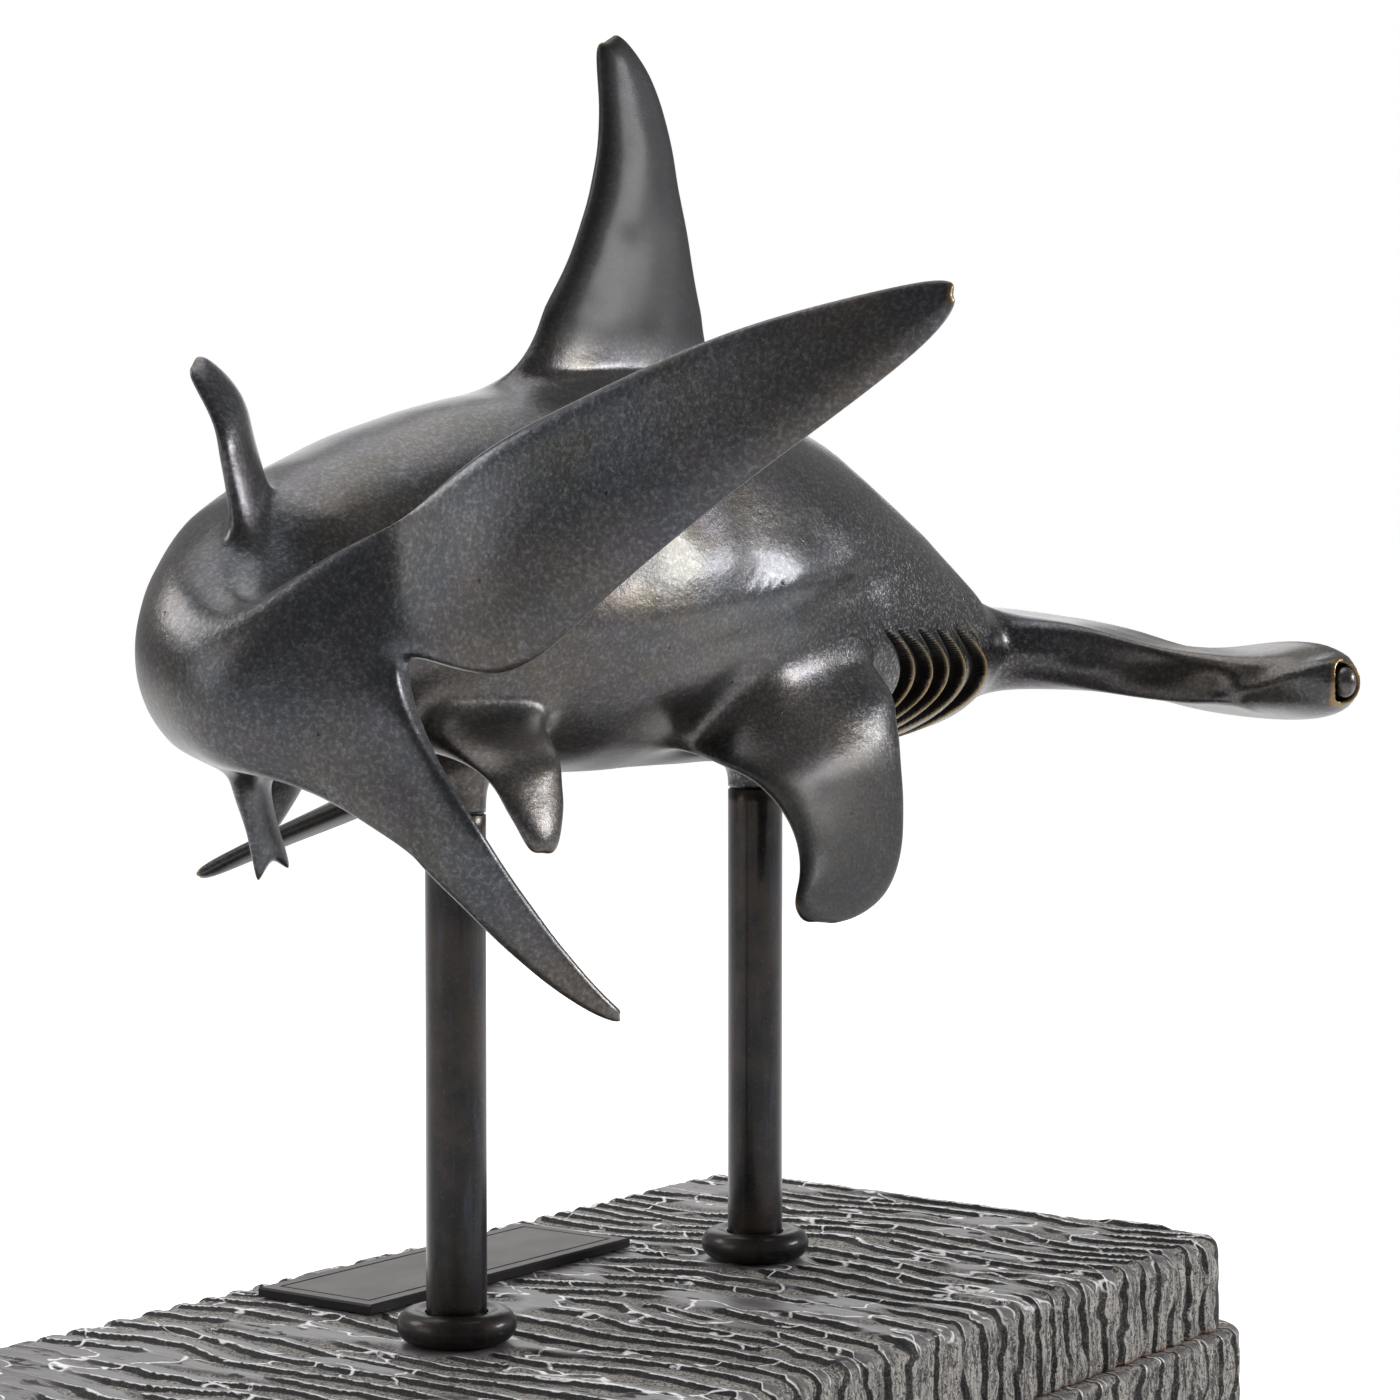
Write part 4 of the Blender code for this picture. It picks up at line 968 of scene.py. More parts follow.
    def cage(self) -> tuple[np.ndarray, np.ndarray]:
        """The design points of the whole animal and the quads between them.

        Returns:
            Points and faces of four corners.
        """
        rings = self.rings()
        count, columns = rings.shape[:2]
        points = [rings.reshape(-1, 3)]
        number = np.arange(count * columns).reshape(count, columns)
        kept = np.ones((count - 1, columns), bool)
        faces: list[np.ndarray] = []
        quarter = columns // 4
        near = np.arange(quarter)
        lines = []
        for fin in self.trunk_fins():
            first, last = fin.rows
            kept[first:last, fin.column] = False
            lines.append((fin, number[first:last + 1, fin.column],
                          number[first:last + 1, (fin.column + 1) % columns]))
        lines.append((self.upper_lobe, number[0, near[::-1]], number[0, columns - 1 - near[::-1]]))
        lines.append((self.lower_lobe, number[0, near + quarter],
                      number[0, columns - 1 - near - quarter]))
        for fin, one, other in lines:
            sections = fin.sections(len(one))
            apart = points[0][one[0]] - points[0][other[0]]
            face_way = sections[0, 0] - sections[0, -1]
            if apart @ face_way < 0:
                one, other = other, one
            start = sum(len(block) for block in points)
            loops = np.arange(sections.shape[0] * sections.shape[1]).reshape(sections.shape[:2]) + start
            points.append(sections.reshape(-1, 3))
            loops = np.vstack([np.concatenate([one, other[::-1]])[None], loops])
            faces.append(loops.ravel()[grid_quads(*loops.shape, round_columns=True)])
            tip, half = loops[-1], len(one)
            k = np.arange(half - 1)
            faces.append(np.stack([tip[k], tip[k + 1], tip[-2 - k], tip[-1 - k]], -1))
        body = grid_quads(count, columns, round_columns=True)
        faces.append(body[kept.ravel()])
        last, half = np.roll(number[-1], quarter), columns // 2
        k = np.arange(half - 1)
        faces.append(np.stack([last[k], last[k + 1], last[-2 - k], last[-1 - k]], -1))
        web = number[0, [quarter - 1, quarter, columns - 1 - quarter, columns - quarter]]
        faces.append(web[None])
        return np.concatenate(points), np.concatenate(faces)

    def control(self, target: np.ndarray, faces: np.ndarray, rounds: int = 3) -> np.ndarray:
        """Control points whose smooth surface meets the design points.

        A control point's place on the smooth surface is a fixed mean of itself, its edge
        neighbours and its face neighbours. Each round moves it by what that mean falls short.

        Args:
            target: design points.
            faces: quads.
            rounds: how often it is corrected.

        Returns:
            The control points, each within cage_reach of its design point.
        """
        size = len(target)
        edge = np.zeros((size, size))
        far = np.zeros((size, size))
        for k in range(4):
            edge[faces[:, k], faces[:, (k + 1) % 4]] = 1.0
            edge[faces[:, (k + 1) % 4], faces[:, k]] = 1.0
            far[faces[:, k], faces[:, (k + 2) % 4]] = 1.0
        valence = edge.sum(1)
        total = valence * (valence + 5)
        mean = (np.diag(valence ** 2) + 4 * edge + far) / total[:, None]
        control = target.copy()
        for _ in range(rounds):
            shift = control - mean @ control
            length = np.linalg.norm(shift, axis=1, keepdims=True)
            control = target + shift * np.minimum(1.0, self.cage_reach / np.maximum(length, 1e-9))
        return control

    def smooth_mesh(self) -> bpy.types.Mesh:
        """The subdivided body, with finer faces round the gills and the eyes.

        Returns:
            A mesh in metres, still at the datum.
        """
        target, faces = self.cage()
        rough = bpy.data.meshes.new("cage")
        rough.from_pydata((self.control(target, faces) * MM).tolist(), [], faces.tolist())
        holder = put("cage", rough)
        surface = holder.modifiers.new("Smooth", "SUBSURF")
        surface.levels = surface.render_levels = self.smooth_levels
        shaped = holder.evaluated_get(bpy.context.evaluated_depsgraph_get())
        mesh = bpy.data.meshes.new_from_object(shaped)
        bpy.data.objects.remove(holder)
        bm = bmesh.new()
        bm.from_mesh(mesh)
        bmesh.ops.recalc_face_normals(bm, faces=bm.faces)
        bm.to_mesh(mesh)
        points, normals, edges = mesh_arrays(mesh)
        middle = points[edges].mean(1)
        at_gills = self.gill_area(middle, np.abs(normals[edges].mean(1)[:, 1]))
        outer = np.stack([middle[:, 0], np.abs(middle[:, 1]), middle[:, 2]], -1)
        at_eyes = np.linalg.norm(outer - self.eye, axis=1) < self.eye_area
        bm.edges.ensure_lookup_table()
        chosen = [bm.edges[i] for i in np.flatnonzero(at_gills | at_eyes)]
        bmesh.ops.subdivide_edges(bm, edges=chosen, cuts=self.fine_cuts, use_grid_fill=True)
        bm.to_mesh(mesh)
        bm.free()
        return mesh

    def gill_area(self, points: np.ndarray, sideways: np.ndarray) -> np.ndarray:
        """Which points lie where the gills are cut.

        Args:
            points: places.
            sideways: how far the surface faces sideways, 0 to 1.

        Returns:
            True on both flanks of the neck.
        """
        start, end = self.gill_stretch
        near_gills = np.abs(points[:, 2] - self.gill_middle) < self.gill_half_span + self.gill_margin
        along = (points[:, 0] > start) & (points[:, 0] < end)
        across = np.abs(points[:, 1]) < self.gill_across
        return near_gills & along & across & (sideways > self.gill_facing)

    def carve_gills(self, points: np.ndarray,
                    normals: np.ndarray) -> tuple[np.ndarray, np.ndarray, np.ndarray]:
        """Cut five crescents behind raised lips into each flank of the neck.

        A lip's line bows forward in its middle. Behind it the surface drops at once to its
        deepest and comes back over the crescent's width, which narrows to both ends.

        Args:
            points: places.
            normals: outward directions.

        Returns:
            The moved points, how deep each lies in millimetres, and a value of 1 on the lips.
        """
        level = (points[:, 2] - self.gill_middle) / self.gill_half_span
        opening = np.sqrt(np.clip(1 - level ** 2, 0.0, 1.0))
        area = self.gill_area(points, np.abs(normals[:, 1]))
        cut = np.zeros(len(points))
        lift = np.zeros(len(points))
        for place, bow, width, depth in self.gills:
            behind = place + bow * opening ** 2 - points[:, 0]
            slope = np.clip(1 - behind / np.maximum(width * opening, self.least_width), 0.0, 1.0)
            cut = np.maximum(cut, depth * opening * slope * smooth_step(behind, *self.gill_wall))
            lift = np.maximum(lift, bell(behind, self.lip_place, self.lip_width) * np.sqrt(opening))
        (x1, z1), (x2, z2) = self.neck_line
        run = np.array([x2 - x1, z2 - z1])
        away = points[:, [0, 2]] - (x1, z1)
        share = np.clip(away @ run / (run @ run), 0.0, 1.0)
        gap = np.linalg.norm(away - share[:, None] * run, axis=1)
        line = bell(gap, 0.0, self.lip_width) * np.sin(np.pi * np.clip(share, 0.04, 0.96))
        cut, lift = cut * area, np.maximum(lift, self.neck_line_lift * line) * area
        moved = points + normals * (self.gill_lip * lift - cut)[:, None]
        return moved, cut, lift

    def sink_sockets(self, points: np.ndarray) -> tuple[np.ndarray, np.ndarray, np.ndarray]:
        """Press an oval socket with a raised rim into each wing end, straight inwards.

        Args:
            points: places.

        Returns:
            The moved points, a value of 1 inside the sockets and a value of 1 on their rims.
        """
        x, y, z = points.T
        along, upright = self.socket_reach
        away = np.hypot((x - self.eye[0]) / along, (z - self.eye[2]) / upright)
        at_end = np.abs(y) > self.eye[1] - self.socket_end
        hollow = smooth_step(-away, -1.0, -self.socket_wall) * at_end
        rim = bell(away, self.rim_place, self.rim_width) * at_end
        moved = points.copy()
        moved[:, 1] -= np.sign(y) * (self.socket_depth * hollow - self.rim_lift * rim)
        return moved, hollow, rim

    def forms(self, points: np.ndarray, normals: np.ndarray) -> np.ndarray:
        """Add the soft modelled forms of the flanks and the wings, and hand-made unevenness.

        Args:
            points: places.
            normals: outward directions.

        Returns:
            The moved points.
        """
        x, y, z = points.T
        coarse, fine = self.uneven
        uneven = (coarse * lattice_noise(x / 26.0, z / 17.0 + y / 40.0, 3)
                  + fine * lattice_noise(x / 9.0, z / 8.0 + y / 13.0, 5))
        uneven *= 0.5 + 0.5 * smooth_step(np.abs(y), 60.0, 35.0)
        push = self.flank_forms(x, np.abs(y), z) + uneven + self.wing_shapes(x, np.abs(y), z)
        return points + normals * push[:, None]

    def flank_forms(self, x: np.ndarray, out: np.ndarray, z: np.ndarray) -> np.ndarray:
        """The fold over each flank, with a long crease under it and a short one above.

        Args:
            x: places along.
            out: places out from the middle.
            z: levels.

        Returns:
            How far each point is pushed outwards.
        """
        area = (smooth_step(out, *self.flank_across) * smooth_step(x, *self.flank_rear)
                * smooth_step(-x, *self.flank_front))
        over = z - np.maximum(self.fold_level + self.fold_slope * x, self.fold_lowest)
        lean = smooth_step(over, *self.fold_rise) * (1 - smooth_step(over, *self.fold_fade))
        middle, width, depth = self.crease
        long_crease = depth * bell(over, middle, width)
        rear, front = self.short_ends
        middle, width, depth = self.short_crease
        short_crease = depth * bell(z - self.short_slope * x, middle, width)
        short_crease *= smooth_step(x, *rear) * (1 - smooth_step(x, *front))
        return area * (lean - long_crease - short_crease)

    def wing_shapes(self, x: np.ndarray, out: np.ndarray, z: np.ndarray) -> np.ndarray:
        """The swellings, the ridge and the groove on each wing's rear face.

        Args:
            x: places along.
            out: places out from the middle.
            z: levels.

        Returns:
            How far each point is pushed outwards.
        """
        push = np.zeros_like(x)
        for (place, level), (wide, high), rise in self.wing_forms:
            push += rise * bell(out, place, wide) * bell(z, level, high)
        (near, level), (far, upper), wide, rise = self.wing_ridge
        share = np.clip((out - near) / (far - near), 0.0, 1.0)
        off = z - level - (upper - level) * share
        ridge = bell(off, 0.0, wide) - self.wing_groove * bell(off, self.groove_place * wide, wide)
        push += rise * np.sqrt(np.sin(np.pi * share)) * ridge
        return push * smooth_step(x, 126.0, 131.0) * (1 - smooth_step(x, 146.0, 154.0))

    def soften(self, points: np.ndarray, edges: np.ndarray) -> np.ndarray:
        """Round the roots of the fins and the fork of the tail.

        Points near an opening's edge or a fin's first section move towards the mean of their
        neighbours. At the fork every second round moves them back a little, so that the thin lobes
        keep their size.

        Args:
            points: places.
            edges: pairs of point numbers.

        Returns:
            The moved points.
        """
        rings = self.rings()
        root = np.zeros(len(points))
        for fin in self.trunk_fins():
            first, last = fin.rows
            one = rings[first:last + 1, fin.column]
            other = rings[first:last + 1, (fin.column + 1) % self.columns]
            front, rear = (np.array(end) for end in fin.stations[0][:2])
            loop = np.concatenate([one, other[::-1], one[:1], rear[None], front[None], one[-1:]])
            gap = np.full(len(points), np.inf)
            for begin, end in zip(loop[:-1], loop[1:]):
                run = end - begin
                share = np.clip((points - begin) @ run / (run @ run), 0.0, 1.0)
                gap = np.minimum(gap, np.linalg.norm(points - begin - share[:, None] * run, axis=1))
            root = np.maximum(root, 1 - smooth_step(gap, self.fillet * self.fillet_core, self.fillet))
        near, far = self.fork_across
        fork = smooth_step(-points[:, 1], *near) * (1 - smooth_step(-points[:, 1], *far))
        fork = fork * smooth_step(-points[:, 0], *self.fork_along)
        for step in range(self.fillet_rounds):
            toward = neighbour_mean(points, edges) - points
            share = self.fillet_share * root + fork * self.fork_shares[step % 2]
            points = points + toward * share[:, None]
        return points

    def foot(self, centre: float, belly: np.ndarray) -> tuple[np.ndarray, list]:
        """The flared foot under the belly.

        Its radius grows from the post's by a power of the height, and its rim lies on the belly:
        the height there is the mean of the nearest belly points, weighted by their nearness.

        Args:
            centre: the post's place along.
            belly: points of the body.

        Returns:
            Points and faces, closed at both ends.
        """
        angle = TURN * np.arange(self.foot_sides) / self.foot_sides
        ring = np.stack([np.cos(angle), np.sin(angle)], -1)
        rim = self.post_radius + self.foot_reach
        close = np.hypot(belly[:, 0] - centre, belly[:, 1]) < rim + 4.0
        near = belly[close & (belly[:, 2] < -20.0)]
        gap = np.linalg.norm(ring[:, None] * rim + (centre, 0.0) - near[None, :, :2], axis=-1)
        weight = 1 / (gap ** 3 + 0.05)
        level = (weight * near[None, :, 2]).sum(1) / weight.sum(1) + self.foot_sink
        share = np.linspace(0.0, 1.0, self.foot_rows)[:, None]
        radius = self.post_radius + self.foot_reach * share ** self.foot_flare
        bottom = self.foot_level - self.datum
        z = bottom + (level[None] - bottom) * (1 - (1 - share) ** self.foot_rise)
        points = np.stack([centre + radius * ring[:, 0], radius * ring[:, 1], z], -1)
        points = np.concatenate([points, points[-1:] + (0.0, 0.0, self.foot_root)]).reshape(-1, 3)
        faces = grid_quads(self.foot_rows + 1, self.foot_sides, round_columns=True).tolist()
        first = np.arange(self.foot_sides)
        last = first + len(points) - self.foot_sides
        return points, [*faces, first[::-1].tolist(), last.tolist()]

    def ball(self, side: float, face: float) -> tuple[np.ndarray, list]:
        """An eyeball as a grid of latitude and longitude.

        Args:
            side: -1 for the right one, 1 for the left one.
            face: how far out the wing end lies.

        Returns:
            Points and faces; the pole rows are small closed rings.
        """
        pole = np.pi / 2 - self.ball_pole
        up = np.linspace(-pole, pole, self.ball_rows)[:, None]
        turn = TURN * np.arange(self.ball_sides)[None] / self.ball_sides
        centre = np.array([self.eye[0], side * (face - self.ball_sink), self.eye[2]])
        shell = np.stack([np.cos(up) * np.cos(turn), np.sin(up) + 0 * turn, np.cos(up) * np.sin(turn)], -1)
        points = (centre + shell * self.ball_reach).reshape(-1, 3)
        faces = grid_quads(self.ball_rows, self.ball_sides, round_columns=True).tolist()
        ends = (range(self.ball_sides), range(len(points) - self.ball_sides, len(points)))
        return points, [*faces, *map(list, ends)]

    def painted_tint_and_shade(self, points: np.ndarray, wear_and_painted_highlight: np.ndarray) -> tuple[np.ndarray, np.ndarray]:
        """Where a warm tint is painted on each flank's highlight, and where the fins get painted shade and a
        duller finish.

        Args:
            points: places.
            wear_and_painted_highlight: how rubbed each point is so far, with no painted tint yet.

        Returns:
            How rubbed each point is, with the painted highlight tint, and how much painted shade and duller
            finish it gets.
        """
        x, y, z = points.T
        # a warm rubbed tint painted where the side lamp's highlight falls on each flank
        place, reach = self.highlight_tint_place, self.highlight_tint_reach
        highlight_tint = bell(x, place[0], reach[0]) * bell(z, place[1], reach[1])
        highlight_tint *= self.highlight_tint_share * smooth_step(np.abs(y), *self.highlight_tint_across)
        # the tall fin and the pectoral fins are darkened with painted shade and made rougher
        pectorals = smooth_step(-z, *self.fin_shade_below) * smooth_step(x, *self.fin_shade_ahead)
        dull_and_painted_shade = np.maximum(smooth_step(z, *self.fin_shade_above), self.pectoral_shade * pectorals)
        return np.maximum(wear_and_painted_highlight, highlight_tint), dull_and_painted_shade

    def build(self, material: bpy.types.Material) -> None:
        """Make the casting.

        Args:
            material: the bronze.
        """
        mesh = self.smooth_mesh()
        points, normals, edges = mesh_arrays(mesh)
        points = self.forms(self.soften(points, edges), normals)
        near_eye = np.hypot(points[:, 0] - self.eye[0], points[:, 2] - self.eye[2]) < self.eye_middle
        face = np.abs(points[near_eye, 1]).max()
        points, cut, lip = self.carve_gills(points, normals)
        points, socket, rim = self.sink_sockets(points)
        mesh.vertices.foreach_set("co", (points * MM).ravel())
        mesh.update()
        points, normals, edges = mesh_arrays(mesh)
        wear_and_painted_highlight = np.maximum.reduce([smooth_step(sharpness(points, normals, edges), *self.rubbed), lip, rim])
        wear_and_painted_highlight, dull_and_painted_shade = self.painted_tint_and_shade(points, wear_and_painted_highlight * (1 - np.clip(cut, 0.0, 1.0)) * (1 - socket))
        recess = np.maximum(np.clip(cut / self.recess_depth, 0.0, 1.0), socket)
        faces = [list(polygon.vertices) for polygon in mesh.polygons]
        bpy.data.meshes.remove(mesh)
        extras = [(*self.foot(centre, points), 0.0) for centre in self.post_places]
        extras += [(*self.ball(side, face), self.ball_wear) for side in (-1.0, 1.0)]
        for extra, more, rubbed in extras:
            faces += [[corner + len(points) for corner in corners] for corners in more]
            points = np.concatenate([points, extra])
            wear_and_painted_highlight = np.concatenate([wear_and_painted_highlight, np.full(len(extra), rubbed)])
        plain = (0, len(points) - len(dull_and_painted_shade))
        values = {"wear_and_painted_highlight": wear_and_painted_highlight, "recess": np.pad(recess, plain), "dull_and_painted_shade": np.pad(dull_and_painted_shade, plain)}
        piece = make_piece("shark_bronze", points + (0.0, 0.0, self.datum), faces, material, values)
        stand_for(piece, "shark_casting")


@dataclass
class CarvedSlab:
    """A slab with rounded edges whose ridges run over its top and down its sides."""

    node: str
    length: float
    width: float
    bottom: float
    top: float
    edge_round: float
    carved_top: bool = True
    seats: tuple = ()
    plate: tuple[float, float, float] = (0.0, 0.0, 0.0)
    corner_radius: float = 13.0
    lines: int = 580
    rows: int = 88
    wall_rows: int = 20
    round_rows: int = 7

    # The ridges: spacing and depth, how much of the spacing is steep side and short drop, and how
    # wide the flat crest is on its own, by chance and near the polished place.
    pitch: float = 8.2
    ridge_depth: float = 0.95
    steep_share: float = 0.11
    drop_share: float = 0.12
    drop_depth: float = 0.80
    crest_share: float = 0.05
    crest_swing: float = 0.14
    crest_polished: float = 0.32
    polished: tuple[float, float, float] = (-122.0, 60.0, 24.0)
    polished_depth: float = 0.12

    # Rough ground in the pockets, the flutes of the wall, and a plain top's small step down.
    pocket_rough: float = 0.30
    pocket_full: float = 0.6
    flute_depth: float = 1.1
    wall_crest: float = 0.45
    wall_rough: float = 0.30
    wall_strength: float = 0.9
    plain_step: float = 0.02

    # Places where one ridge splits into two.
    branches: tuple = ((-118.0, 20.0), (-96.0, -38.0), (-71.0, 48.0), (-60.0, -20.0), (-38.0, 22.0),
                       (-20.0, -52.0), (-2.0, -8.0), (18.0, 40.0), (30.0, -38.0), (46.0, 18.0),
                       (66.0, -58.0), (78.0, 44.0), (88.0, -12.0), (104.0, 30.0), (118.0, -44.0),
                       (128.0, 12.0))

    def phase(self, x: np.ndarray, y: np.ndarray) -> np.ndarray:
        """Which ridge a place on the top lies on, counted in ridges.

        It grows along the slab by one each pitch, wanders with three noises, and turns once
        round each branch place, where one ridge splits into two.

        Args:
            x: places along.
            y: places across.

        Returns:
            Ridge numbers with fractions.
        """
        phase = (x / self.pitch + 1.15 * lattice_noise(x / 55.0, y / 50.0, 11)
                 + 0.34 * lattice_noise(x / 22.0, y / 23.0, 12) + 0.11 * lattice_noise(x / 5.0, y / 6.0, 13))
        for k, (bx, by) in enumerate(self.branches):
            phase = phase + (-1) ** k * np.arctan2(y - by, x - bx) / TURN
        return phase

    def strength(self, x: np.ndarray, y: np.ndarray) -> np.ndarray:
        """How deep the ridges are, 0 to 1.

        Args:
            x: places along.
            y: places across.

        Returns:
            Full on open carving, little on the polished place and none on the flat seats.
        """
        broken = lattice_noise(x / 6.5, y / 21.0, 21) + 0.45 * lattice_noise(x / 22.0, y / 9.0, 22)
        deep = 0.88 * smooth_step(broken, -0.80, -0.45) + 0.12 * lattice_noise(x / 19.0, y / 31.0, 24)
        px, py, reach = self.polished
        away = smooth_step(np.hypot(x - px, y - py), reach * 0.6, reach * 1.3)
        deep = deep * (self.polished_depth + (1 - self.polished_depth) * away)
        return np.clip(deep, 0.0, 1.0) * self.open_share(x, y)

    def open_share(self, x: np.ndarray, y: np.ndarray) -> np.ndarray:
        """One on open stone, falling to zero on the seats of the collars and the plate.

        Args:
            x: places along.
            y: places across.

        Returns:
            0 to 1.
        """
        share = np.ones_like(x)
        for seat_x, radius in self.seats:
            share = np.minimum(share, smooth_step(np.hypot(x - seat_x, y), radius - 0.4, radius + 2.2))
        half_length, half_width, offset = self.plate
        if half_length:
            gap = np.maximum(np.abs(x) - half_length, np.abs(y - offset) - half_width)
            share = np.minimum(share, smooth_step(gap, -0.6, 1.8))
        return share

    def flat_share(self, x: np.ndarray, y: np.ndarray) -> np.ndarray:
        """How wide the flat crests are, as a share of the pitch.

        Args:
            x: places along.
            y: places across.

        Returns:
            Wider towards the polished place.
        """
        px, py, reach = self.polished
        near = 1 - smooth_step(np.hypot(x - px, y - py), reach * 0.8, reach * 3.2)
        swing = 0.5 + 0.5 * lattice_noise(x / 17.0, y / 29.0, 27)
        return self.crest_share + self.crest_swing * swing + self.crest_polished * near

    def profile(self, turn: np.ndarray, flat: np.ndarray | float) -> np.ndarray:
        """Height across one ridge: a steep side, a flat crest, a short drop and a pocket.

        Args:
            turn: fraction from one groove to the next.
            flat: share of the pitch that is crest.

        Returns:
            0 to 1.
        """
        steep, short, deep = self.steep_share, self.drop_share, self.drop_depth
        past = turn - steep - flat
        pocket = np.clip((past - short) / (1 - steep - short - flat), 0.0, 1.0)
        drop = deep * smooth_step(past, 0.0, short) + (1 - deep) * pocket
        return np.where(turn < steep, smooth_step(turn, 0.0, steep), 1 - drop)

    def corner_places(self) -> tuple[float, float, float]:
        """How far out the middles of the rounded corners lie, along and across, and their radius."""
        radius = self.corner_radius - self.edge_round
        return self.length / 2 - self.corner_radius, self.width / 2 - self.corner_radius, radius

    def top_grid(self) -> tuple[np.ndarray, np.ndarray]:
        """A grid of places that fills the top's rounded outline.

        Returns:
            Places along and across.
        """
        along, across, radius = self.corner_places()
        x = ((along + radius) * np.linspace(-1.0, 1.0, self.lines))[:, None] * np.ones(self.rows)
        past = np.clip(np.abs(x) - along, 0.0, radius)
        half = across + np.sqrt(np.maximum(radius ** 2 - past ** 2, 0.0))
        return x, np.linspace(-1.0, 1.0, self.rows)[None] * half

    def wall(self, x: np.ndarray, y: np.ndarray, z: np.ndarray) -> tuple[np.ndarray, np.ndarray, np.ndarray]:
        """Carry the rim of the top over the rounded edge and down the fluted wall.

        The flutes follow the top's ridges on the long sides and run by themselves at the ends.
        They sway on the way down and break off in places.

        Args:
            x: the rim's places along.
            y: its places across.
            z: its levels.

        Returns:
            Points, the ridge's turn as complex numbers, and how far each point has left the top.
        """
        along, across, _ = self.corner_places()
        away = np.stack([np.sign(x) * np.maximum(np.abs(x) - along, 0.0),
                         np.sign(y) * np.maximum(np.abs(y) - across, 0.0)], -1)
        away /= np.linalg.norm(away, axis=1, keepdims=True)
        at_end = smooth_step(np.abs(away[:, 0]), 0.35, 0.9)
        end_phase = y / self.pitch + lattice_noise(x / 30.0, y / 14.0, 17)
        spin = (1 - at_end) * np.exp(1j * TURN * self.phase(x, y)) + at_end * np.exp(1j * TURN * end_phase)
        rounds = np.linspace(0.0, np.pi / 2, self.round_rows + 1)[1:]
        out = np.concatenate([self.edge_round * np.sin(rounds), np.full(self.wall_rows, self.edge_round)])
        straight = np.linspace(self.edge_round, self.top - self.bottom, self.wall_rows + 1)[1:]
        level = np.concatenate([self.edge_round * (1 - np.cos(rounds)), straight])[:, None]
        sway = (0.20 * lattice_noise(x[None] / 9.0 + y[None] / 9.0, level / 8.0, 19)
                + 0.12 * lattice_noise(x[None] / 3.0 + y[None] / 3.7, level / 2.6, 29))
        broken = smooth_step(lattice_noise(x[None] / 7.0 + y[None] / 5.0, level / 9.0, 37), -0.75, -0.2)
        spin = spin[None] * np.exp(1j * TURN * sway) * (0.25 + 0.75 * broken)
        flute = self.profile(np.mod(np.angle(spin) / TURN, 1.0), self.wall_crest)
        rough = lattice_noise(x[None] / 2.2 + y[None] / 2.9, level / 3.0, 23)
        rising = smooth_step(level, 0.0, self.edge_round)
        inset = self.flute_depth * np.abs(spin) * (1 - flute) + self.wall_rough * (1 - rough)
        reach = out[:, None] - inset * rising
        settle = 1 - smooth_step(level, 0.0, self.edge_round * 2)
        down = self.top - level - (self.top - z)[None] * settle
        down[-1] = self.bottom
        points = np.stack([x + away[:, 0] * reach, y + away[:, 1] * reach, down], -1)
        return points, spin, rising + np.zeros_like(rough)

    def build(self, material: bpy.types.Material) -> None:
        """Make the slab as one closed surface: the top's grid, the wall and the underside.

        Args:
            material: the stone.
        """
        x, y = self.top_grid()
        turn = np.mod(self.phase(x, y), 1.0)
        deep = self.strength(x, y)
        flat = self.flat_share(x, y)
        drop = deep * (1 - self.profile(turn, flat))
        ground = np.minimum(drop, self.pocket_full) * lattice_noise(x / 1.5, y / 2.0, 31)
        drop = self.ridge_depth * drop + self.pocket_rough * ground
        z = self.top - (drop if self.carved_top else np.full_like(x, self.plain_step))
        number = np.arange(x.size).reshape(x.shape)
        rim = np.concatenate([number[:, 0], number[-1, 1:], number[-2::-1, -1], number[0, -2:0:-1]])
        sides, spin, wall = self.wall(x.ravel()[rim], y.ravel()[rim], z.ravel()[rim])
        loops = np.vstack([rim[None], x.size + np.arange(spin.size).reshape(spin.shape)])
        faces = number.ravel()[grid_quads(self.lines, self.rows)].tolist()
        faces += loops.ravel()[grid_quads(*loops.shape, round_columns=True)].tolist()
        faces.append(loops[-1][::-1].tolist())
        points = np.concatenate([np.stack([x, y, z], -1).reshape(-1, 3), sides.reshape(-1, 3)])
        on_top = np.stack([np.cos(TURN * turn), np.sin(TURN * turn), deep], -1)
        on_wall = np.stack([spin.real, spin.imag, np.abs(spin) * self.wall_strength], -1)
        values = {"ridge": np.concatenate([on_top.reshape(-1, 3), on_wall.reshape(-1, 3)]),
                  "wall": np.concatenate([np.zeros(x.size), wall.ravel()]),
                  "flat": np.concatenate([flat.ravel(), np.full(wall.size, self.wall_crest)])}
        stand_for(make_piece(f"{self.node}_stone", points, faces, material, values), self.node)


@dataclass
class Turned:
    """A part turned about an upright axis, from rows of radius and height.

    A ring's rows close on themselves. Others end in two flat faces.
    """

    name: str
    node: str
    centre: float
    rows: np.ndarray
    ring: bool
    sides: int = 96
    sharp: float = 50.0

    def build(self, material: bpy.types.Material) -> None:
        """Carry the rows round the axis.

        Args:
            material: its finish.
        """
        angle = TURN * np.arange(self.sides)[None] / self.sides
        radius, height = self.rows.T[:, :, None]
        points = np.stack([self.centre + radius * np.cos(angle), radius * np.sin(angle),
                           height + 0 * angle], -1).reshape(-1, 3)
        count = len(self.rows)
        faces = grid_quads(count, self.sides, round_rows=self.ring, round_columns=True).tolist()
        if not self.ring:
            faces += [list(range(self.sides)), list(range(len(points) - self.sides, len(points)))]
        step = np.diff(self.rows, axis=0)
        bend = np.zeros(count)
        bend[1:-1] = smooth_step(np.abs(np.diff(np.unwrap(np.arctan2(step[:, 1], step[:, 0])))), 0.1, 0.5)
        piece = make_piece(self.name, points, faces, material, {"wear_and_painted_highlight": np.repeat(bend, self.sides)})
        piece.data.set_sharp_from_angle(angle=math.radians(self.sharp))
        stand_for(piece, self.node)


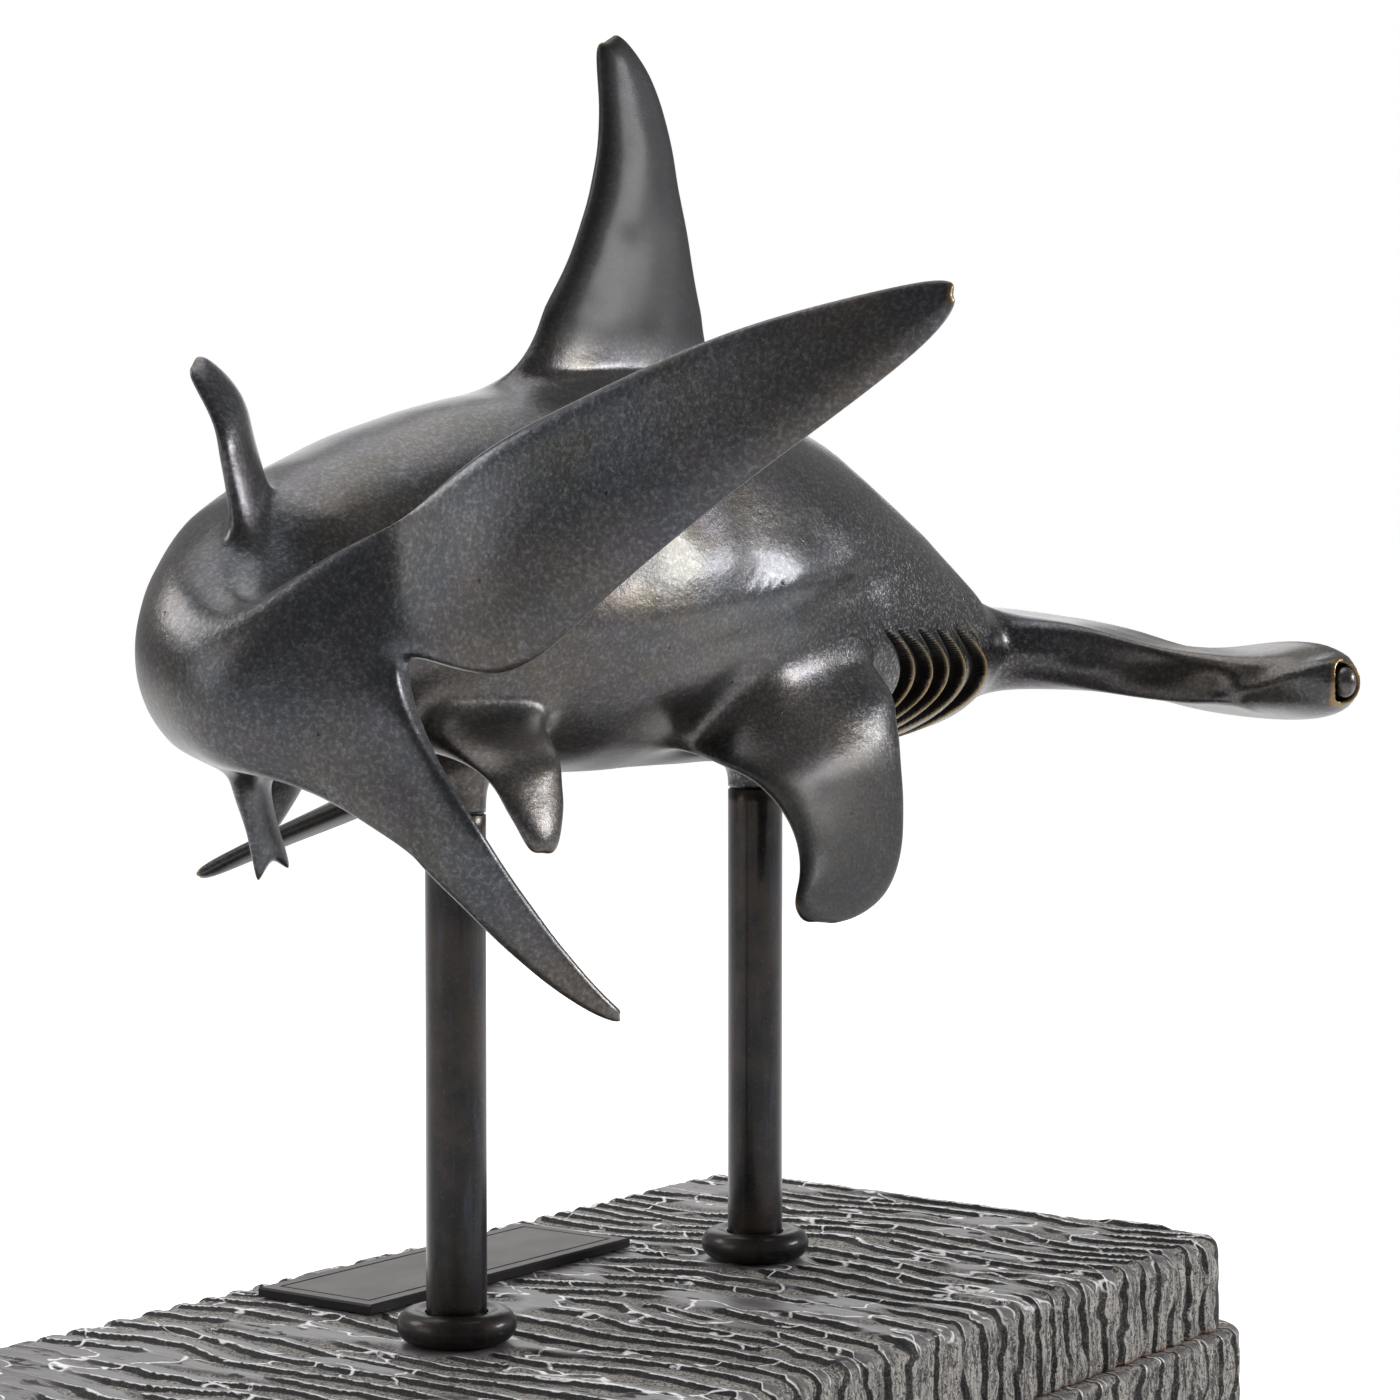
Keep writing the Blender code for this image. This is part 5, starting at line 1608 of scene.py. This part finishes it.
@dataclass
class Stand:
    """The two posts with their collars, standing on the slabs."""

    collar_dish: float = 0.6
    collar_clearance: float = 0.3
    edge_break: float = 0.35
    stud_radius: float = 4.0
    stud_break: float = 0.8
    shaft_rows: int = 40
    bulge_rows: int = 25
    dish_rows: int = 7

    def build(self, rod: bpy.types.Material, ring: bpy.types.Material) -> None:
        """Make both posts and both collars at the places that the frame gives.

        Args:
            rod: the posts' finish.
            ring: the collars' finish.
        """
        for label in ENDS:
            low, high = box_mm(f"{label}_post")
            ring_low, ring_high = box_mm(f"{label}_collar")
            centre, radius = (low[0] + high[0]) / 2, (high[0] - low[0]) / 2
            post = self.post_rows(radius, low[2], ring_low[2], high[2])
            Turned(f"{label}_post_rod", f"{label}_post", centre, post, False).build(rod)
            collar = self.collar_rows(radius, (ring_high[0] - ring_low[0]) / 2, ring_low[2], ring_high[2])
            Turned(f"{label}_collar_ring", f"{label}_collar", centre, collar, True).build(ring)

    def post_rows(self, radius: float, end: float, foot: float, top: float) -> np.ndarray:
        """A post's section, with small broken edges.

        Args:
            radius: the post's radius.
            end: the stud's lower end.
            foot: where the post stands on the stone.
            top: the post's top.

        Returns:
            Rows of radius and height from the stud's end up to the top.
        """
        stud, small = self.stud_radius, self.edge_break
        shaft = np.linspace(foot + small, top - small, self.shaft_rows)
        return np.array([(stud - self.stud_break, end), (stud, end + self.stud_break), (stud, foot),
                         (radius - small, foot), *((radius, height) for height in shaft),
                         (radius - small, top)])

    def collar_rows(self, post_radius: float, outer: float, foot: float, top: float) -> np.ndarray:
        """A rounded ring's section: a half round outside and a shallow dish beside the post.

        Args:
            post_radius: the post's radius.
            outer: the ring's radius.
            foot: its lower face.
            top: its highest point.

        Returns:
            Rows of radius and height, closed on themselves.
        """
        inner = post_radius + self.collar_clearance
        half = (top - foot) / 2
        start = outer - half
        angle = np.radians(np.linspace(-90.0, 90.0, self.bulge_rows))
        bulge = np.stack([start + half * np.cos(angle), foot + half + half * np.sin(angle)], -1)
        share = np.linspace(0.0, 1.0, self.dish_rows)[1:]
        dish = np.stack([start + (inner - start) * share,
                         top - self.collar_dish * smooth_step(share, 0.0, 1.0)], -1)
        return np.concatenate([[(inner, foot)], bulge, dish])


@dataclass
class Studio:
    """A pale floor, soft lamps and the camera at the photograph's angle.

    Each soft box has a name, a place, what it faces, its width and height, and its watts: one
    above, one to the right of the camera, one to its left, one behind, and a weak one on the tail.
    """

    camera_place: Place = (-0.57165, -0.4328, 0.1918)
    camera_yaw: float = 35.7
    camera_dip: float = 2.075
    lens: float = 88.7
    sensor: float = 36.0
    clip: Pair = (0.01, 100.0)
    floor_size: float = 30.0
    floor_glow: float = 0.66
    floor_mirrored: float = 0.62
    room_strength: float = 0.55
    mirror_tilt: float = 0.30
    mirror_span: Pair = (-0.25, 0.75)
    mirror_strength: Pair = (0.27, 0.46)
    soft_boxes: tuple = (
        ("overhead", (0.1, 0.2, 1.1), (0.0, 0.0, 0.15), (0.9, 0.9), 5.0),
        ("right_side", (0.82, -0.84, 0.48), (0.0, 0.0, 0.19), (0.43, 0.20), 6.2),
        ("left_side", (-0.5, 1.05, 0.9), (0.0, 0.0, 0.18), (0.5, 0.5), 5.0),
        ("back", (0.9, 0.7, 0.6), (0.0, 0.0, 0.15), (0.7, 0.7), 2.2),
        ("tail_side", (-0.95, 0.52, 0.42), (-0.05, 0.0, 0.20), (0.6, 0.5), 1.7),
    )

    def build(self) -> None:
        """Make everything round the object."""
        self.floor()
        self.world()
        for settings in self.soft_boxes:
            self.soft_box(*settings)
        self.camera()

    def floor(self) -> None:
        """A wide plain floor that stays white to the camera and keeps the shadow."""
        half = self.floor_size / 2
        corners = [(-half, -half, 0), (half, -half, 0), (half, half, 0), (-half, half, 0)]
        mesh = bpy.data.meshes.new("floor")
        mesh.from_pydata(corners, [], [(0, 1, 2, 3)])
        g = Graph.of_material("pale floor")
        mirrored = self.floor_mirrored * (g.ray("Glossy") + g.ray("Transmission"))
        shown = (g.ray("Camera") + mirrored).maths("MINIMUM", 1.0)
        lit = g.node("ShaderNodeBsdfDiffuse", inputs={"Color": (0.8, 0.8, 0.8)})
        glow = g.node("ShaderNodeEmission",
                      inputs={"Color": (1.0, 1.0, 1.0), "Strength": shown * self.floor_glow})
        g.send(g.node("ShaderNodeAddShader", inputs={0: lit, 1: glow}))
        mesh.materials.append(g.owner)
        put("floor", mesh)

    def world(self) -> None:
        """A white backdrop for the camera, and a soft grey room for the light."""
        g = Graph(bpy.data.worlds.new("studio"))
        room = g.node("ShaderNodeBackground", inputs={"Strength": self.room_strength})
        backdrop = g.node("ShaderNodeBackground", inputs={"Color": (1.0, 1.0, 1.0)})
        mirror = g.node("ShaderNodeBackground", inputs={"Strength": self.mirror_room(g)})
        unseen = g.node("ShaderNodeMixShader", inputs={0: g.ray("Glossy"), 1: room, 2: mirror})
        g.send(g.node("ShaderNodeMixShader", inputs={0: g.ray("Camera"), 1: unseen, 2: backdrop}))
        bpy.context.scene.world = g.owner

    def mirror_room(self, g: Graph) -> Wire:
        """What metal reflects: the white backdrop behind the object and a dim room before it.

        Args:
            g: the world's nodes.

        Returns:
            The room's strength in each direction.
        """
        yaw = math.radians(self.camera_yaw)
        ahead = (math.cos(yaw), math.sin(yaw), self.mirror_tilt)
        direction = g.node("ShaderNodeTexCoord", output="Generated")
        share = g.node("ShaderNodeVectorMath", {"operation": "DOT_PRODUCT"},
                       {0: direction, 1: ahead}, "Value")
        (start, end), (dim, bright) = self.mirror_span, self.mirror_strength
        return g.node("ShaderNodeMapRange", {"interpolation_type": "SMOOTHSTEP"},
                      {"Value": share, "From Min": start, "From Max": end, "To Min": dim,
                       "To Max": bright})

    def soft_box(self, name: str, place: Place, target: Place, size: Pair,
                 power: float) -> None:
        """Add a flat lamp that faces a target.

        Args:
            name: the lamp's name.
            place: where it hangs, in metres.
            target: what it faces.
            size: its width and height.
            power: watts.
        """
        light = bpy.data.lights.new(name, "AREA")
        light.shape = "RECTANGLE"
        light.size, light.size_y = size
        light.energy = power
        aim = np.array(target) - np.array(place)
        aim = aim / np.linalg.norm(aim)
        lamp = put(name, light)
        lamp.rotation_euler = (math.acos(-aim[2]), 0.0, math.atan2(-aim[0], aim[1]))
        lamp.location = place

    def camera(self) -> None:
        """A long lens at the photograph's place."""
        data = bpy.data.cameras.new("photograph")
        data.lens = self.lens
        data.sensor_width = self.sensor
        data.clip_start, data.clip_end = self.clip
        obj = put("photograph", data)
        obj.location = self.camera_place
        turn = math.radians(self.camera_yaw - 90.0)
        obj.rotation_euler = (math.radians(90.0 - self.camera_dip), 0.0, turn)
        bpy.context.scene.camera = obj


def dress(node: bpy.types.Object, material: bpy.types.Material) -> None:
    """Give a CAD node its finish."""
    node.data.materials.clear()
    node.data.materials.append(material)
    LOG.info("%s: dressed", node.name)


def stone_base(stone: bpy.types.Material) -> None:
    """Make both slabs at the places that the frame gives.

    Args:
        stone: the stone finish.
    """
    plate_low, plate_high = box_mm("nameplate")
    plate_half, plate_middle = (plate_high - plate_low) / 2, (plate_high + plate_low) / 2
    seats = []
    for label in ENDS:
        low, high = box_mm(f"{label}_collar")
        seats.append(((low[0] + high[0]) / 2, (high[0] - low[0]) / 2))
    low, high = box_mm("upper_slab")
    CarvedSlab("upper_slab", high[0] - low[0], high[1] - low[1], low[2], plate_low[2] - PLATE_SINK,
               edge_round=4.5, seats=tuple(seats),
               plate=(plate_half[0], plate_half[1], plate_middle[1])).build(stone)
    low, high = box_mm("lower_slab")
    CarvedSlab("lower_slab", high[0] - low[0], high[1] - low[1], low[2], high[2],
               edge_round=2.5, carved_top=False, lines=420, rows=24, wall_rows=16).build(stone)


def main() -> None:
    """Load the frame, make each piece and set up the studio."""
    logging.basicConfig(level=logging.INFO, format="%(message)s")
    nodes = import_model()["nodes"]
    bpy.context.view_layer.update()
    posts = [box_mm(f"{label}_post") for label in ENDS]
    (low, high), _ = posts
    shark = SharkCasting(
        post_radius=(high[0] - low[0]) / 2,
        post_places=tuple((left[0] + right[0]) / 2 for left, right in posts),
        foot_level=high[2] + FOOT_GAP)
    shark.build(BronzeFinish().material())
    stone_base(StoneFinish(seam=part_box("upper_slab")[0][2]).material())
    Stand().build(RodFinish().material(), RodFinish(rough=0.34).material())
    steel = SteelFinish().material()
    finishes = {"nameplate": PlateFinish().material(), "felt_sheet": FeltFinish().material()}
    finishes.update({f"{label}_{kind}": steel for label in ENDS for kind in ("washer", "nut")})
    for name, finish in finishes.items():
        dress(nodes[name], finish)
    Studio().build()
    bpy.context.scene.view_settings.view_transform = "Standard"


if __name__ == "__main__":
    main()
